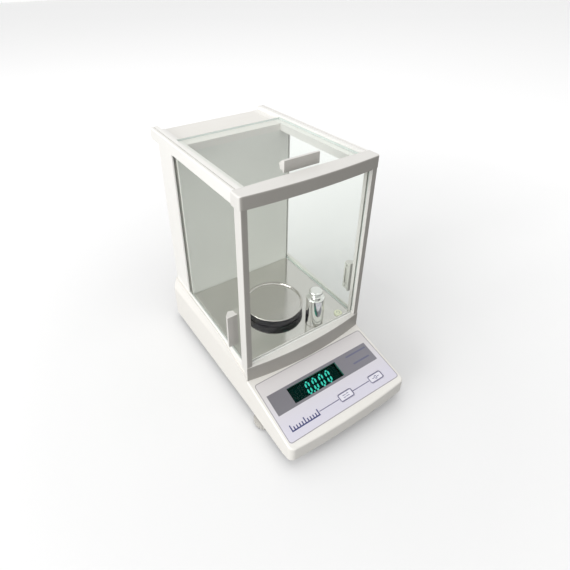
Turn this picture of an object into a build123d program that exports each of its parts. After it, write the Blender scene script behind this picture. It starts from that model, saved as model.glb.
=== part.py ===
"""Analytical balance: a base with a sloping control panel, a glass draught shield and a weighing pan.

Millimetres, +Z up. The balance faces -Y and is symmetric about X = 0 apart from its sockets.
The origin is on the bench, under the middle of the balance's box. Each piece is one node in parts/.
"""
from build123d import *
from math import atan2, cos, sin
import os

os.makedirs("parts", exist_ok=True)

# ---------------------------------------------------------------- driving dimensions
# Draught shield
FRAME_HALF = 100.0  # half width of the shield's frame
FRAME_FRONT = -78.5  # front face of the corner posts
FRAME_TOP = 349.0  # top face of the shield
BEAM_HEIGHT = 17.0  # top beams, all round
POST_WIDTH = 8.3
POST_DEPTH = 14.0
RAIL_WIDTH = 22.0  # top side rails, seen from above
BEAM_DEPTH = 18.0  # top front beam, seen from above
BEAM_BOW = 6.0  # how far the top front beam bows out in the middle
RAIL_BOW = 8.5  # the same for the front bottom rail
RAIL_TOP = 87.0  # top of the front bottom rail
RAIL_FOOT = 62.0  # where the rail meets the control panel
RAIL_BACK = -69.0  # back face of the front bottom rail
COLUMN_FRONT = 107.6
COLUMN_REAR = 157.5
REAR_WALL_FRONT = 104.5
CAP_REAR = 185.5  # the top frame runs on past the column, under the open top door
GLASS = 3.0  # thickness of every pane
SLOT = 3.8  # width of a groove that a pane slides in
DOOR_INNER = 94.6  # inner face of the side panes
SLOT_INNER = DOOR_INNER - 0.4
SLOT_OUTER = SLOT_INNER + SLOT
DOOR_BOTTOM = 83.5
DOOR_FRONT = -68.0
DOOR_REAR = 117.5

# Base
BASE_REAR = 161.5
BASE_BOTTOM = 12.0
SHOULDER = 69.0  # the side walls are upright up to here
DECK_TOP = 86.5  # top of the rim beside the shield
RECESS_FLOOR = 79.0  # the shield stands in a recess of the base
WALL = 3.0
PANEL_DROP = 22.4  # height lost down the control panel
PANEL_RUN = 103.1
PANEL_CORNER = -181.5  # the panel's front corners
PANEL_NOSE = -185.5  # the middle of its bowed front edge
FRONT_HALF = 100.0
FRONT_CORNER = 8.0  # radius of the base's front corners
REAR_CORNER = 7.0
PANEL_ROUND = 2.5  # radius along the rim of the control panel
MIDDLE_HALF = 101.5  # half width of the base beside the corner posts
REAR_HALF = 109.0

# Weighing chamber
FLOOR_TOP = 84.0
PAN_Y = 6.5
PAN_RADIUS = 46.5
PAN_TOP = 98.0
CHAMBER_HALF = 93.6

# Clearances
EASE = 0.1  # a side, round a piece let into another
GAP = 0.2  # between two pieces that stand side by side
PAST = 1.0  # how far a cut runs past the face it opens

PANEL_SLOPE = PANEL_DROP / PANEL_RUN
PANEL_ANGLE = atan2(PANEL_DROP, PANEL_RUN)
# The panel's plane: its X is the balance's, and its -Y runs down the slope.
PANEL = Plane(origin=(0, FRAME_FRONT, RAIL_FOOT), x_dir=(1, 0, 0), z_dir=(0, -sin(PANEL_ANGLE), cos(PANEL_ANGLE)))
BEAM_BOTTOM = FRAME_TOP - BEAM_HEIGHT
POST_BACK = FRAME_FRONT + POST_DEPTH
BEAM_BACK = FRAME_FRONT + BEAM_DEPTH
GLASS_FRONT = FRAME_FRONT + 5.2  # front face of the fixed front pane
SIDES = {"left": -1, "right": 1}


def base_plan(plane, rear_half, inset=0.0, front=PANEL_CORNER, nose=PANEL_NOSE):
    """The base seen from above: widening to the rear, with a bowed front edge and round corners."""
    front_y = front + inset
    nose_y = nose + inset
    rear_y = BASE_REAR - inset
    front_x = FRONT_HALF - inset
    middle_x = MIDDLE_HALF - inset
    rear_x = rear_half - inset
    with BuildSketch(plane) as plan:
        with BuildLine():
            ThreePointArc((-front_x, front_y), (0, nose_y), (front_x, front_y))
            Polyline((front_x, front_y), (middle_x, FRAME_FRONT), (rear_x, rear_y), (-rear_x, rear_y),
                     (-middle_x, FRAME_FRONT), (-front_x, front_y))
        make_face()
        fillet(plan.vertices().group_by(Axis.Y)[0], radius=FRONT_CORNER)
        fillet(plan.vertices().group_by(Axis.Y)[-1], radius=REAR_CORNER)
    return plan.sketch


def box_between(low, high, mode=Mode.ADD):
    """A box from its lowest to its highest corner, added to the part being built."""
    size = [b - a for a, b in zip(low, high)]
    middle = [(a + b) / 2 for a, b in zip(low, high)]
    with Locations(tuple(middle)):
        Box(*size, mode=mode)


# ---------------------------------------------------------------- base housing
WINDOW_X = -16.5
WINDOW_T = 46.9  # distance of the display window's middle down the panel
WINDOW_SIZE = (85.8, 22.9)
KEY_SIZE = (24.0, 11.5)
KEY_CORNER = 2.5
KEY_T = 82.6
KEYS = {"tare_key": 64.4, "mode_key": 8.6}
KEY_GAP = 0.3
KEY_HOLE = (KEY_SIZE[0] + 2 * KEY_GAP, KEY_SIZE[1] + 2 * KEY_GAP)
INLET_AT = (60.0, 38.0)  # X and Z of the rear sockets
INLET_SIZE = (27.5, 20.0)
SWITCH_AT = (24.0, 38.0)
SWITCH_SIZE = (13.4, 19.8)
PORT_AT = (-52.0, 38.0)
PORT_SIZE = (20.0, 11.0)
BOSSES = [(-92, 146), (92, 146), (-90, -46), (90, -46), (-86, -148), (86, -148)]
STEM_HOLE = 9.0
CAVITY_TOP = RECESS_FLOOR - WALL
CAVITY_REAR = 154.5
CAVITY_FRONT = -179.0
LIP_START = -165.0  # the underside rises from here to the front edge
LIP_HEIGHT = 18.0
PLATE_FRONT = LIP_START + 0.4  # front edge of the opening that the bottom plate closes
PLATE_TOP = BASE_BOTTOM + 2.5
NOSE_HEIGHT = LIP_HEIGHT + 4.5  # where the underside's rise would meet the panel's end
PANEL_REACH = 120.0  # the panel's profile runs on past the nose and is trimmed to the base's plan
RIM_HALF = 103.5  # half width of the rear of the rim
RIM_LEVEL = 14.0  # the rim beside the shield is level behind here and dips in front
HOLLOW_HALF = 105.6
HOLLOW_INSET = 3.2
HOLLOW_STEP = RAIL_BACK + 3  # in front of here the hollow's roof is lower, under the front rail
PLINTH_REAR = 20.0
BOSS_RADIUS = 4.5
PILOT_RADIUS = 1.55
PILOT_DEPTH = 16.0
SCREW_HOLE = 1.8

# The front of the housing, under the control panel, with a softly rounded rim.
with BuildPart() as panel_block:
    extrude(base_plan(Plane.XY.offset(BASE_BOTTOM), REAR_HALF), amount=RAIL_FOOT)
    with BuildSketch(Plane.YZ):
        with BuildLine():
            Polyline((FRAME_FRONT, BASE_BOTTOM), (FRAME_FRONT, RAIL_FOOT),
                     (FRAME_FRONT - PANEL_REACH, RAIL_FOOT - PANEL_REACH * PANEL_SLOPE),
                     (FRAME_FRONT - PANEL_REACH, NOSE_HEIGHT),
                     (LIP_START, BASE_BOTTOM), (FRAME_FRONT, BASE_BOTTOM))
        make_face()
    extrude(amount=REAR_HALF + PAST, both=True, mode=Mode.INTERSECT)
    panel_rim = panel_block.faces().filter_by(lambda f: f.normal_at().Z > 0.9)[0].edges()
    fillet(panel_rim.filter_by(lambda e: e.center().Y < FRAME_FRONT - 1), radius=PANEL_ROUND)

# The hollow inside the housing.
with BuildPart() as cavity:
    extrude(base_plan(Plane.XY, HOLLOW_HALF, HOLLOW_INSET), amount=DECK_TOP)
    with BuildSketch(Plane.YZ):
        with BuildLine():
            Polyline((CAVITY_REAR, 0), (CAVITY_REAR, CAVITY_TOP), (HOLLOW_STEP, CAVITY_TOP),
                     (HOLLOW_STEP, RAIL_FOOT - WALL), (FRAME_FRONT, RAIL_FOOT - WALL),
                     (CAVITY_FRONT, RAIL_FOOT - WALL + (CAVITY_FRONT - FRAME_FRONT) * PANEL_SLOPE),
                     (CAVITY_FRONT, NOSE_HEIGHT - 0.5), (PLATE_FRONT, BASE_BOTTOM),
                     (PLATE_FRONT, 0), (CAVITY_REAR, 0))
        make_face()
    extrude(amount=REAR_HALF, both=True, mode=Mode.INTERSECT)

with BuildPart() as base_housing:
    extrude(base_plan(Plane.XY.offset(BASE_BOTTOM), REAR_HALF), amount=SHOULDER - BASE_BOTTOM)
    loft([base_plan(Plane.XY.offset(SHOULDER), REAR_HALF), base_plan(Plane.XY.offset(DECK_TOP), RIM_HALF)])
    with BuildSketch(Plane.YZ):
        with BuildLine():
            Polyline((FRAME_FRONT, RAIL_FOOT), (FRAME_FRONT, BASE_BOTTOM), (BASE_REAR + PAST, BASE_BOTTOM),
                     (BASE_REAR + PAST, DECK_TOP), (RIM_LEVEL, DECK_TOP))
            Spline((RIM_LEVEL, DECK_TOP), (RIM_LEVEL - 29.5, DECK_TOP - 3.3), (FRAME_FRONT + 20, RAIL_FOOT + 11.5),
                   (FRAME_FRONT, RAIL_FOOT), tangents=((-1, 0), (-0.35, -1)))
        make_face()
    extrude(amount=REAR_HALF + PAST, both=True, mode=Mode.INTERSECT)
    add(panel_block.part)
    # A plinth carries the front of the shield where the rim dips.
    box_between((-FRAME_HALF, RAIL_BACK, RAIL_FOOT - 10), (FRAME_HALF, PLINTH_REAR, RECESS_FLOOR))
    # The recess that the shield stands in, and the ledge under the front rail.
    with BuildSketch(Plane.XY.offset(RECESS_FLOOR)):
        with Locations((0, (RAIL_BACK + COLUMN_REAR) / 2)):
            Rectangle(2 * (FRAME_HALF + EASE), COLUMN_REAR - RAIL_BACK + 2 * EASE)
    extrude(amount=DECK_TOP, mode=Mode.SUBTRACT)
    with BuildSketch(Plane.XY.offset(RAIL_FOOT)):
        with Locations((0, RAIL_BACK)):
            Rectangle(2 * (FRAME_HALF + EASE), 30, align=(Align.CENTER, Align.MAX))
    extrude(amount=DECK_TOP, mode=Mode.SUBTRACT)
    add(cavity.part, mode=Mode.SUBTRACT)
    # The side panes slide out over the rear rim in two notches.
    for sign in SIDES.values():
        notch = sorted([sign * SLOT_INNER, sign * SLOT_OUTER])
        box_between((notch[0], COLUMN_REAR - PAST, DOOR_BOTTOM - 0.5), (notch[1], BASE_REAR + PAST, DECK_TOP + PAST),
                    mode=Mode.SUBTRACT)
    # Screw bosses hang from the roof of the hollow.
    for boss_x, boss_y in BOSSES:
        roof = CAVITY_TOP if boss_y > FRAME_FRONT else RAIL_FOOT + (boss_y - FRAME_FRONT) * PANEL_SLOPE - 1
        with BuildSketch(Plane.XY.offset(PLATE_TOP)):
            with Locations((boss_x, boss_y)):
                Circle(BOSS_RADIUS)
        extrude(amount=roof - PLATE_TOP)
        with BuildSketch(Plane.XY.offset(PLATE_TOP)):
            with Locations((boss_x, boss_y)):
                Circle(PILOT_RADIUS)
        extrude(amount=PILOT_DEPTH, mode=Mode.SUBTRACT)
    # Through the deck: the load stem's hole.
    with BuildSketch(Plane.XY.offset(CAVITY_TOP - PAST)):
        with Locations((0, PAN_Y)):
            Circle(STEM_HOLE)
    extrude(amount=WALL + 2 * PAST, mode=Mode.SUBTRACT)
    # Through the panel: the display window and the two keys.
    with BuildSketch(PANEL):
        with Locations((WINDOW_X, -WINDOW_T)):
            Rectangle(*WINDOW_SIZE)
        for key_x in KEYS.values():
            with Locations((key_x, -KEY_T)):
                RectangleRounded(*KEY_HOLE, KEY_CORNER + KEY_GAP)
    extrude(amount=2 * WALL, both=True, mode=Mode.SUBTRACT)
    # Through the rear wall: the sockets.
    with BuildSketch(Plane.XZ.offset(-BASE_REAR - PAST)):
        for (at_x, at_z), size in ((INLET_AT, INLET_SIZE), (SWITCH_AT, SWITCH_SIZE), (PORT_AT, PORT_SIZE)):
            with Locations((at_x, at_z)):
                Rectangle(*size)
    extrude(amount=BASE_REAR - CAVITY_REAR + 2 * PAST, mode=Mode.SUBTRACT)
base_housing.part.label = "base_housing"
export_step(base_housing.part, "parts/base_housing.step")

# ---------------------------------------------------------------- bottom plate and feet
FOOT_AT = (90.0, -106.5)
STUD_RADIUS = 4.0
STUD_HOLE = 4.08
REAR_FEET = [(-84, 128), (84, 128)]
WEIGH_HOOK_HOLE = 6.0  # for weighing below the balance
BOARD_X = (-84.0, -44.0)
BOARD_Y = (-28.0, 128.0)
BOARD_Z = 20.0
BOARD_THICK = 1.6
PLATE_CLEAR = 0.4  # between the bottom plate and the housing's walls
PLATE_HALF = {"front": 95.8, "middle": 98.0, "rear": 101.6}
NUT_RADIUS = 7.0  # threaded bosses that the levelling studs turn in
NUT_HEIGHT = 17.0
STANDOFF_RADIUS = 3.0
STANDOFF_INSET = 4.0
SLEEVE_RADIUS = 2.0  # the pegs of the rear feet
FOOT_RADIUS = 11.5
VENT_AT = (66.0, 34.0)
VENT_SIZE = (34.0, 2.4)
VENT_PITCH = 6.0
VENTS = 6

with BuildPart() as bottom_plate:
    with BuildSketch(Plane.XY.offset(BASE_BOTTOM)) as plate_plan:
        with BuildLine():
            plate_front = PLATE_FRONT + PLATE_CLEAR
            plate_rear = CAVITY_REAR - PLATE_CLEAR
            Polyline((-PLATE_HALF["front"], plate_front), (PLATE_HALF["front"], plate_front),
                     (PLATE_HALF["middle"], FRAME_FRONT), (PLATE_HALF["rear"], plate_rear),
                     (-PLATE_HALF["rear"], plate_rear), (-PLATE_HALF["middle"], FRAME_FRONT),
                     (-PLATE_HALF["front"], plate_front))
        make_face()
        fillet(plate_plan.vertices().group_by(Axis.Y)[-1], radius=REAR_CORNER - 2)
    extrude(amount=PLATE_TOP - BASE_BOTTOM)
    with BuildSketch(Plane.XY.offset(PLATE_TOP)):
        with Locations((-FOOT_AT[0], FOOT_AT[1]), FOOT_AT):
            Circle(NUT_RADIUS)
    extrude(amount=NUT_HEIGHT)
    with BuildSketch(Plane.XY.offset(PLATE_TOP)):
        with Locations((sum(BOARD_X) / 2, sum(BOARD_Y) / 2)):
            with GridLocations(BOARD_X[1] - BOARD_X[0] - 2 * STANDOFF_INSET,
                               BOARD_Y[1] - BOARD_Y[0] - 2 * STANDOFF_INSET, 2, 2):
                Circle(STANDOFF_RADIUS)
    extrude(amount=BOARD_Z - PLATE_TOP)
    with BuildSketch(Plane.XY.offset(BASE_BOTTOM - PAST)):
        with Locations((-FOOT_AT[0], FOOT_AT[1]), FOOT_AT):
            Circle(STUD_HOLE)
        with Locations(*BOSSES):
            Circle(SCREW_HOLE)
        with Locations((0, PAN_Y)):
            Circle(WEIGH_HOOK_HOLE)
        with Locations(*REAR_FEET):
            Circle(SLEEVE_RADIUS + GAP)
    extrude(amount=NUT_HEIGHT + PLATE_TOP, mode=Mode.SUBTRACT)
    # Cooling slots in front of the transformer.
    with BuildSketch(Plane.XY.offset(BASE_BOTTOM - PAST)):
        with Locations(VENT_AT):
            with GridLocations(0, VENT_PITCH, 1, VENTS):
                SlotOverall(*VENT_SIZE)
    extrude(amount=2 * PAST + PLATE_TOP - BASE_BOTTOM, mode=Mode.SUBTRACT)
bottom_plate.part.label = "bottom_plate"
export_step(bottom_plate.part, "parts/bottom_plate.step")

with BuildPart() as rear_feet:
    for foot_x, foot_y in REAR_FEET:
        with BuildSketch(Plane.XY):
            with Locations((foot_x, foot_y)):
                Circle(FOOT_RADIUS)
        extrude(amount=BASE_BOTTOM, taper=4)
        with BuildSketch(Plane.XY.offset(BASE_BOTTOM)):
            with Locations((foot_x, foot_y)):
                Circle(SLEEVE_RADIUS)
        extrude(amount=6)
rear_feet.part.label = "rear_feet"
export_step(rear_feet.part, "parts/rear_feet.step")

KNOB_RADIUS = 16.0
PAD_RADIUS = 12.0
PAD_TOP = 3.0
KNOB_TOP = 9.4
KNOB_FLUTES = 24
FLUTE_RADIUS = 1.3
STUD_LENGTH = 18.0
SPIGOT_RADIUS = 4.5
SPIGOT_LENGTH = 2.0
for side, sign in SIDES.items():
    foot_axis = Plane(origin=(sign * FOOT_AT[0], FOOT_AT[1], 0))
    with BuildPart() as foot_pad:
        with BuildSketch(foot_axis):
            Circle(PAD_RADIUS)
        extrude(amount=PAD_TOP - GAP, taper=-6)
        with BuildSketch(foot_axis.offset(PAD_TOP - GAP)):
            Circle(SPIGOT_RADIUS)
        extrude(amount=SPIGOT_LENGTH)
    foot_pad.part.label = f"{side}_foot_pad"
    export_step(foot_pad.part, f"parts/{side}_foot_pad.step")

    with BuildPart() as foot_knob:
        with BuildSketch(foot_axis.offset(PAD_TOP)):
            Circle(KNOB_RADIUS)
            with PolarLocations(KNOB_RADIUS + 0.5, KNOB_FLUTES):
                Circle(FLUTE_RADIUS, mode=Mode.SUBTRACT)
        extrude(amount=KNOB_TOP - PAD_TOP)
        with BuildSketch(foot_axis.offset(KNOB_TOP)):
            Circle(STUD_RADIUS)
        extrude(amount=STUD_LENGTH)
        # The pad's spigot turns in this socket.
        with BuildSketch(foot_axis.offset(PAD_TOP)):
            Circle(SPIGOT_RADIUS + STUD_HOLE - STUD_RADIUS)
        extrude(amount=SPIGOT_LENGTH + GAP, mode=Mode.SUBTRACT)
    foot_knob.part.label = f"{side}_foot_knob"
    export_step(foot_knob.part, f"parts/{side}_foot_knob.step")

# ---------------------------------------------------------------- control panel
OVERLAY = 0.4
WINDOW_THICK = 2.0
KEY_STEM_END = 5.2
KEY_RISE = 0.6
KEY_TRAVEL = 0.5
KEY_SKIRT = 2.0  # depth of the key's body below the panel's surface
KEY_STEM_RADIUS = 2.4
OVERLAY_T = 54.0
OVERLAY_SIZE = (192.0, 88.0)
OVERLAY_CORNER = 4.0
TUBE_SIZE = (82.0, 20.5)
TUBE_THICK = 6.2
DISPLAY_BOARD_DEPTH = 12.4  # below the panel's surface
DISPLAY_BOARD_AT = (-2.0, 61.5)
DISPLAY_BOARD_SIZE = (156.0, 62.0)
TUBE_DEPTH = DISPLAY_BOARD_DEPTH - BOARD_THICK - GAP
SWITCH_SIDE = 6.2
SWITCH_HEIGHT = 3.6
SWITCH_STEM = 1.7
SWITCH_TOP = DISPLAY_BOARD_DEPTH - BOARD_THICK - SWITCH_HEIGHT  # depth of its body's top

with BuildPart() as keypad_overlay:
    with BuildSketch(PANEL):
        with Locations((0, -OVERLAY_T)):
            RectangleRounded(*OVERLAY_SIZE, OVERLAY_CORNER)
        with Locations((WINDOW_X, -WINDOW_T)):
            Rectangle(*WINDOW_SIZE, mode=Mode.SUBTRACT)
        for key_x in KEYS.values():
            with Locations((key_x, -KEY_T)):
                RectangleRounded(*KEY_HOLE, KEY_CORNER + KEY_GAP, mode=Mode.SUBTRACT)
    extrude(amount=OVERLAY)
keypad_overlay.part.label = "keypad_overlay"
export_step(keypad_overlay.part, "parts/keypad_overlay.step")

with BuildPart() as display_window:
    with BuildSketch(PANEL.offset(OVERLAY - 0.1)):
        with Locations((WINDOW_X, -WINDOW_T)):
            Rectangle(WINDOW_SIZE[0] - 2 * EASE, WINDOW_SIZE[1] - 2 * EASE)
    extrude(amount=-WINDOW_THICK)
display_window.part.label = "display_window"
export_step(display_window.part, "parts/display_window.step")

with BuildPart() as display_tube:
    with BuildSketch(PANEL.offset(-TUBE_DEPTH)):
        with Locations((WINDOW_X, -WINDOW_T)):
            RectangleRounded(*TUBE_SIZE, 2)
    extrude(amount=TUBE_THICK)
    chamfer(display_tube.edges().group_by(Axis.Z)[-1], length=0.6)
display_tube.part.label = "display_tube"
export_step(display_tube.part, "parts/display_tube.step")

with BuildPart() as display_board:
    with BuildSketch(PANEL.offset(-DISPLAY_BOARD_DEPTH)):
        with Locations((DISPLAY_BOARD_AT[0], -DISPLAY_BOARD_AT[1])):
            Rectangle(*DISPLAY_BOARD_SIZE)
    extrude(amount=BOARD_THICK)
display_board.part.label = "display_board"
export_step(display_board.part, "parts/display_board.step")

with BuildPart() as key_switches:
    for key_x in KEYS.values():
        with BuildSketch(PANEL.offset(-SWITCH_TOP)):
            with Locations((key_x, -KEY_T)):
                RectangleRounded(SWITCH_SIDE, SWITCH_SIDE, 0.6)
        extrude(amount=-SWITCH_HEIGHT)
        with BuildSketch(PANEL.offset(-SWITCH_TOP)):
            with Locations((key_x, -KEY_T)):
                Circle(SWITCH_STEM)
        extrude(amount=SWITCH_TOP - KEY_STEM_END - KEY_TRAVEL - GAP)
key_switches.part.label = "key_switches"
export_step(key_switches.part, "parts/key_switches.step")

for key_name, key_x in KEYS.items():
    with BuildPart() as key:
        with BuildSketch(PANEL.offset(-KEY_SKIRT)):
            with Locations((key_x, -KEY_T)):
                RectangleRounded(*KEY_SIZE, KEY_CORNER)
        extrude(amount=KEY_SKIRT + KEY_RISE)
        chamfer(key.edges().filter_by(lambda e: abs(PANEL.to_local_coords(e.center()).Z - KEY_RISE) < 0.01),
                length=0.25)
        with BuildSketch(PANEL.offset(-KEY_SKIRT)):
            with Locations((key_x, -KEY_T)):
                Circle(KEY_STEM_RADIUS)
        extrude(amount=KEY_SKIRT - KEY_STEM_END)
    key.part.label = key_name
    export_step(key.part, f"parts/{key_name}.step")

# ---------------------------------------------------------------- weighing chamber
VIAL_AT = (76.0, -61.0)
VIAL_RADIUS = 6.4
VIAL_RISE = 2.4  # above the chamber floor
TRAY_WALL = 2.0
COLLAR_RADIUS = 13.0
COLLAR_BORE = 10.2
COLLAR_HEIGHT = 5.0
with BuildPart() as floor_plate:
    box_between((-CHAMBER_HALF, RAIL_BACK + GAP, RECESS_FLOOR), (CHAMBER_HALF, REAR_WALL_FRONT - GAP, FLOOR_TOP))
    fillet(floor_plate.faces().sort_by(Axis.Z)[-1].edges(), radius=0.8)
    box_between((-CHAMBER_HALF + TRAY_WALL, RAIL_BACK + GAP + TRAY_WALL, RECESS_FLOOR - PAST),
                (CHAMBER_HALF - TRAY_WALL, REAR_WALL_FRONT - GAP - TRAY_WALL, FLOOR_TOP - TRAY_WALL),
                mode=Mode.SUBTRACT)
    for sign in SIDES.values():
        post_foot = sorted([sign * (FRAME_HALF - POST_WIDTH - GAP), sign * FRAME_HALF])
        box_between((post_foot[0], RAIL_BACK, RECESS_FLOOR - PAST), (post_foot[1], POST_BACK + GAP, FLOOR_TOP + PAST),
                    mode=Mode.SUBTRACT)
    with BuildSketch(Plane.XY.offset(RECESS_FLOOR - PAST)):
        with Locations((0, PAN_Y)):
            Circle(STEM_HOLE)
        with Locations(VIAL_AT):
            Circle(VIAL_RADIUS + GAP)
    extrude(amount=FLOOR_TOP - RECESS_FLOOR + 2 * PAST, mode=Mode.SUBTRACT)
floor_plate.part.label = "floor_plate"
export_step(floor_plate.part, "parts/floor_plate.step")

with BuildPart() as stem_collar:
    with BuildSketch(Plane.XY.offset(FLOOR_TOP)):
        with Locations((0, PAN_Y)):
            Circle(COLLAR_RADIUS)
            Circle(COLLAR_BORE, mode=Mode.SUBTRACT)
    extrude(amount=COLLAR_HEIGHT)
    chamfer(stem_collar.faces().sort_by(Axis.Z)[-1].edges(), length=0.5)
stem_collar.part.label = "stem_collar"
export_step(stem_collar.part, "parts/stem_collar.step")

with BuildPart() as level_vial:
    with BuildSketch(Plane.XY.offset(RECESS_FLOOR + GAP)):
        with Locations(VIAL_AT):
            Circle(VIAL_RADIUS)
    extrude(amount=FLOOR_TOP + VIAL_RISE - RECESS_FLOOR - GAP)
    fillet(level_vial.edges().group_by(Axis.Z)[-1], radius=1.2)
level_vial.part.label = "level_vial"
export_step(level_vial.part, "parts/level_vial.step")

# ---------------------------------------------------------------- pan, support and load receiver
SUPPORT_BOTTOM = FLOOR_TOP + 1.6
DISC_BOTTOM = 91.6
DISC_TOP = 94.0
SKIRT_RADIUS = 46.1
LIP_INNER = 45.0  # the pan drops inside a lip on the support
LIP_TOP = 96.4
SKIRT_THICK = 2.0
SKIRT_LEAN = 0.8
HUB_RADIUS = 9.4
STEM_RADIUS = 4.0
STEM_BORE = STEM_RADIUS + 0.05
PAN_AXIS = Plane(origin=(0, PAN_Y, 0), x_dir=(1, 0, 0), z_dir=(0, -1, 0))

with BuildPart() as pan_support:
    with BuildSketch(PAN_AXIS):
        with BuildLine():
            Polyline((0, DISC_BOTTOM), (0, DISC_TOP), (LIP_INNER, DISC_TOP), (LIP_INNER, LIP_TOP),
                     (SKIRT_RADIUS, LIP_TOP), (SKIRT_RADIUS - SKIRT_LEAN, SUPPORT_BOTTOM),
                     (SKIRT_RADIUS - SKIRT_LEAN - SKIRT_THICK, SUPPORT_BOTTOM),
                     (SKIRT_RADIUS - SKIRT_THICK, DISC_BOTTOM),
                     (HUB_RADIUS, DISC_BOTTOM), (HUB_RADIUS, SUPPORT_BOTTOM), (STEM_BORE, SUPPORT_BOTTOM),
                     (STEM_BORE, DISC_BOTTOM), (0, DISC_BOTTOM))
        make_face()
    revolve(axis=Axis((0, PAN_Y, 0), (0, 0, 1)))
pan_support.part.label = "pan_support"
export_step(pan_support.part, "parts/pan_support.step")

PAN_WALL = 44.0  # inner radius of the pan's wall, under its turned-out rim
PAN_SHEET = 1.0
PAN_CORNER = 1.7
PAN_LIP = 0.6  # radius of the rim's outer edge
PAN_SKIN = 0.8  # thickness of the wall
RIM_BOTTOM = LIP_TOP + GAP
with BuildPart() as weighing_pan:
    corner_start = (PAN_WALL - PAN_CORNER, DISC_TOP + PAN_SHEET)
    corner_end = (PAN_WALL, DISC_TOP + PAN_SHEET + PAN_CORNER)
    lip_start = (PAN_RADIUS - PAN_LIP, PAN_TOP)
    lip_end = (PAN_RADIUS, PAN_TOP - PAN_LIP)
    with BuildSketch(PAN_AXIS):
        with BuildLine():
            Polyline((0, DISC_TOP), (0, DISC_TOP + PAN_SHEET), corner_start)
            RadiusArc(corner_start, corner_end, -PAN_CORNER)
            Polyline(corner_end, (PAN_WALL, PAN_TOP), lip_start)
            RadiusArc(lip_start, lip_end, PAN_LIP)
            Polyline(lip_end, (PAN_RADIUS, RIM_BOTTOM), (PAN_WALL + PAN_SKIN, RIM_BOTTOM),
                     (PAN_WALL + PAN_SKIN, DISC_TOP), (0, DISC_TOP))
        make_face()
    revolve(axis=Axis((0, PAN_Y, 0), (0, 0, 1)))
weighing_pan.part.label = "weighing_pan"
export_step(weighing_pan.part, "parts/weighing_pan.step")

RECEIVER_HALF = 10.0
RECEIVER_BACK = 13.0
RECEIVER_BOTTOM = 26.0
RECEIVER_TOP = 66.0
HOOK_THREAD = 2.0
HOOK_DEPTH = 10.0
with BuildPart() as load_receiver:
    box_between((-RECEIVER_HALF, 0, RECEIVER_BOTTOM), (RECEIVER_HALF, RECEIVER_BACK, RECEIVER_TOP))
    chamfer(load_receiver.edges().filter_by(Axis.Z), length=1.5)
    with BuildSketch(Plane.XY.offset(RECEIVER_TOP)):
        with Locations((0, PAN_Y)):
            Circle(STEM_RADIUS)
    extrude(amount=DISC_BOTTOM - RECEIVER_TOP)
    # The threaded hole for a hook, for weighing below the balance.
    with Locations(Plane(origin=(0, PAN_Y, RECEIVER_BOTTOM), z_dir=(0, 0, -1))):
        Hole(radius=HOOK_THREAD, depth=HOOK_DEPTH)
load_receiver.part.label = "load_receiver"
export_step(load_receiver.part, "parts/load_receiver.step")

# The calibration weight: a polished cylinder with a neck and a knob, standing on the chamber floor.
WEIGHT_AT = (34.0, -54.0)
WEIGHT_RADIUS = 13.5
WEIGHT_BODY = 50.0
NECK_RADIUS = 8.0
SHOULDER_ROUND = 2.0
NECK_BOTTOM = WEIGHT_BODY + 0.8
GRIP_BOTTOM = WEIGHT_BODY + 5.6
GRIP_TOP = WEIGHT_BODY + 11.6
WEIGHT_PLANE = Plane(origin=(*WEIGHT_AT, FLOOR_TOP), x_dir=(1, 0, 0), z_dir=(0, -1, 0))
with BuildPart() as calibration_weight:
    shoulder_start = (WEIGHT_RADIUS, WEIGHT_BODY - SHOULDER_ROUND)
    shoulder_end = (WEIGHT_RADIUS - SHOULDER_ROUND, WEIGHT_BODY)
    with BuildSketch(WEIGHT_PLANE):
        with BuildLine():
            Polyline((0, 0), (WEIGHT_RADIUS - 1, 0), (WEIGHT_RADIUS, 1), shoulder_start)
            RadiusArc(shoulder_start, shoulder_end, -SHOULDER_ROUND)
            Line(shoulder_end, (NECK_RADIUS, NECK_BOTTOM))
            RadiusArc((NECK_RADIUS, NECK_BOTTOM), (NECK_RADIUS, GRIP_BOTTOM), 2.6)
            RadiusArc((NECK_RADIUS, GRIP_BOTTOM), (NECK_RADIUS, GRIP_TOP), -3.2)
            Polyline((NECK_RADIUS, GRIP_TOP), (0, GRIP_TOP + 0.6), (0, 0))
        make_face()
    revolve(axis=Axis((*WEIGHT_AT, 0), (0, 0, 1)))
calibration_weight.part.label = "calibration_weight"
export_step(calibration_weight.part, "parts/calibration_weight.step")

# ---------------------------------------------------------------- weighing cell, inside the base
CELL_HALF = 36.0
CELL_Y = (-18.0, 150.0)
CELL_TOP = 20.0  # top of the mechanism's bed
CHEEK_Y = (30.0, 92.0)
CHEEK_X = (22.0, 31.0)
CHEEK_TOP = 62.5
LEVER_HALF = 5.0
LEVER_FRONT = 16.0
LEVER_Z = (44.0, 50.0)
LEVER_PIVOT = (36.0, 47.0)  # Y and Z
LIGHTENING_Y = (58.0, 78.0, 98.0)
LIGHTENING_RADIUS = 1.8
VANE_HALF = 0.6  # the flag at the lever's end, which the sensor reads
VANE_LENGTH = 16.0
PIN_RADIUS = 2.0
JOURNAL_RADIUS = 2.5  # the pin's thicker ends, in the cheeks
COIL_Y = 120.0
COIL_RADIUS = 15.6
COIL_BORE = 13.4
COIL_BOTTOM = 31.0
COIL_CAP = 42.0  # the former is closed above here
MAGNET_RADIUS = 21.5
MAGNET_HEIGHT = 19.0
MAGNET_GAP = (11.4, 17.6)  # radii of the ring-shaped gap that the coil hangs in
MAGNET_GAP_FLOOR = 25.0
GUIDE_LEVELS = (28.0, 63.0)
GUIDE_THICK = 1.0
GUIDE_HALF = 21.5
GUIDE_NOSE = 9.0
GUIDE_WINDOW = (30.0, 46.0)
SENSOR_TOP = 58.0
SENSOR_FORK = 40.0

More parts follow.
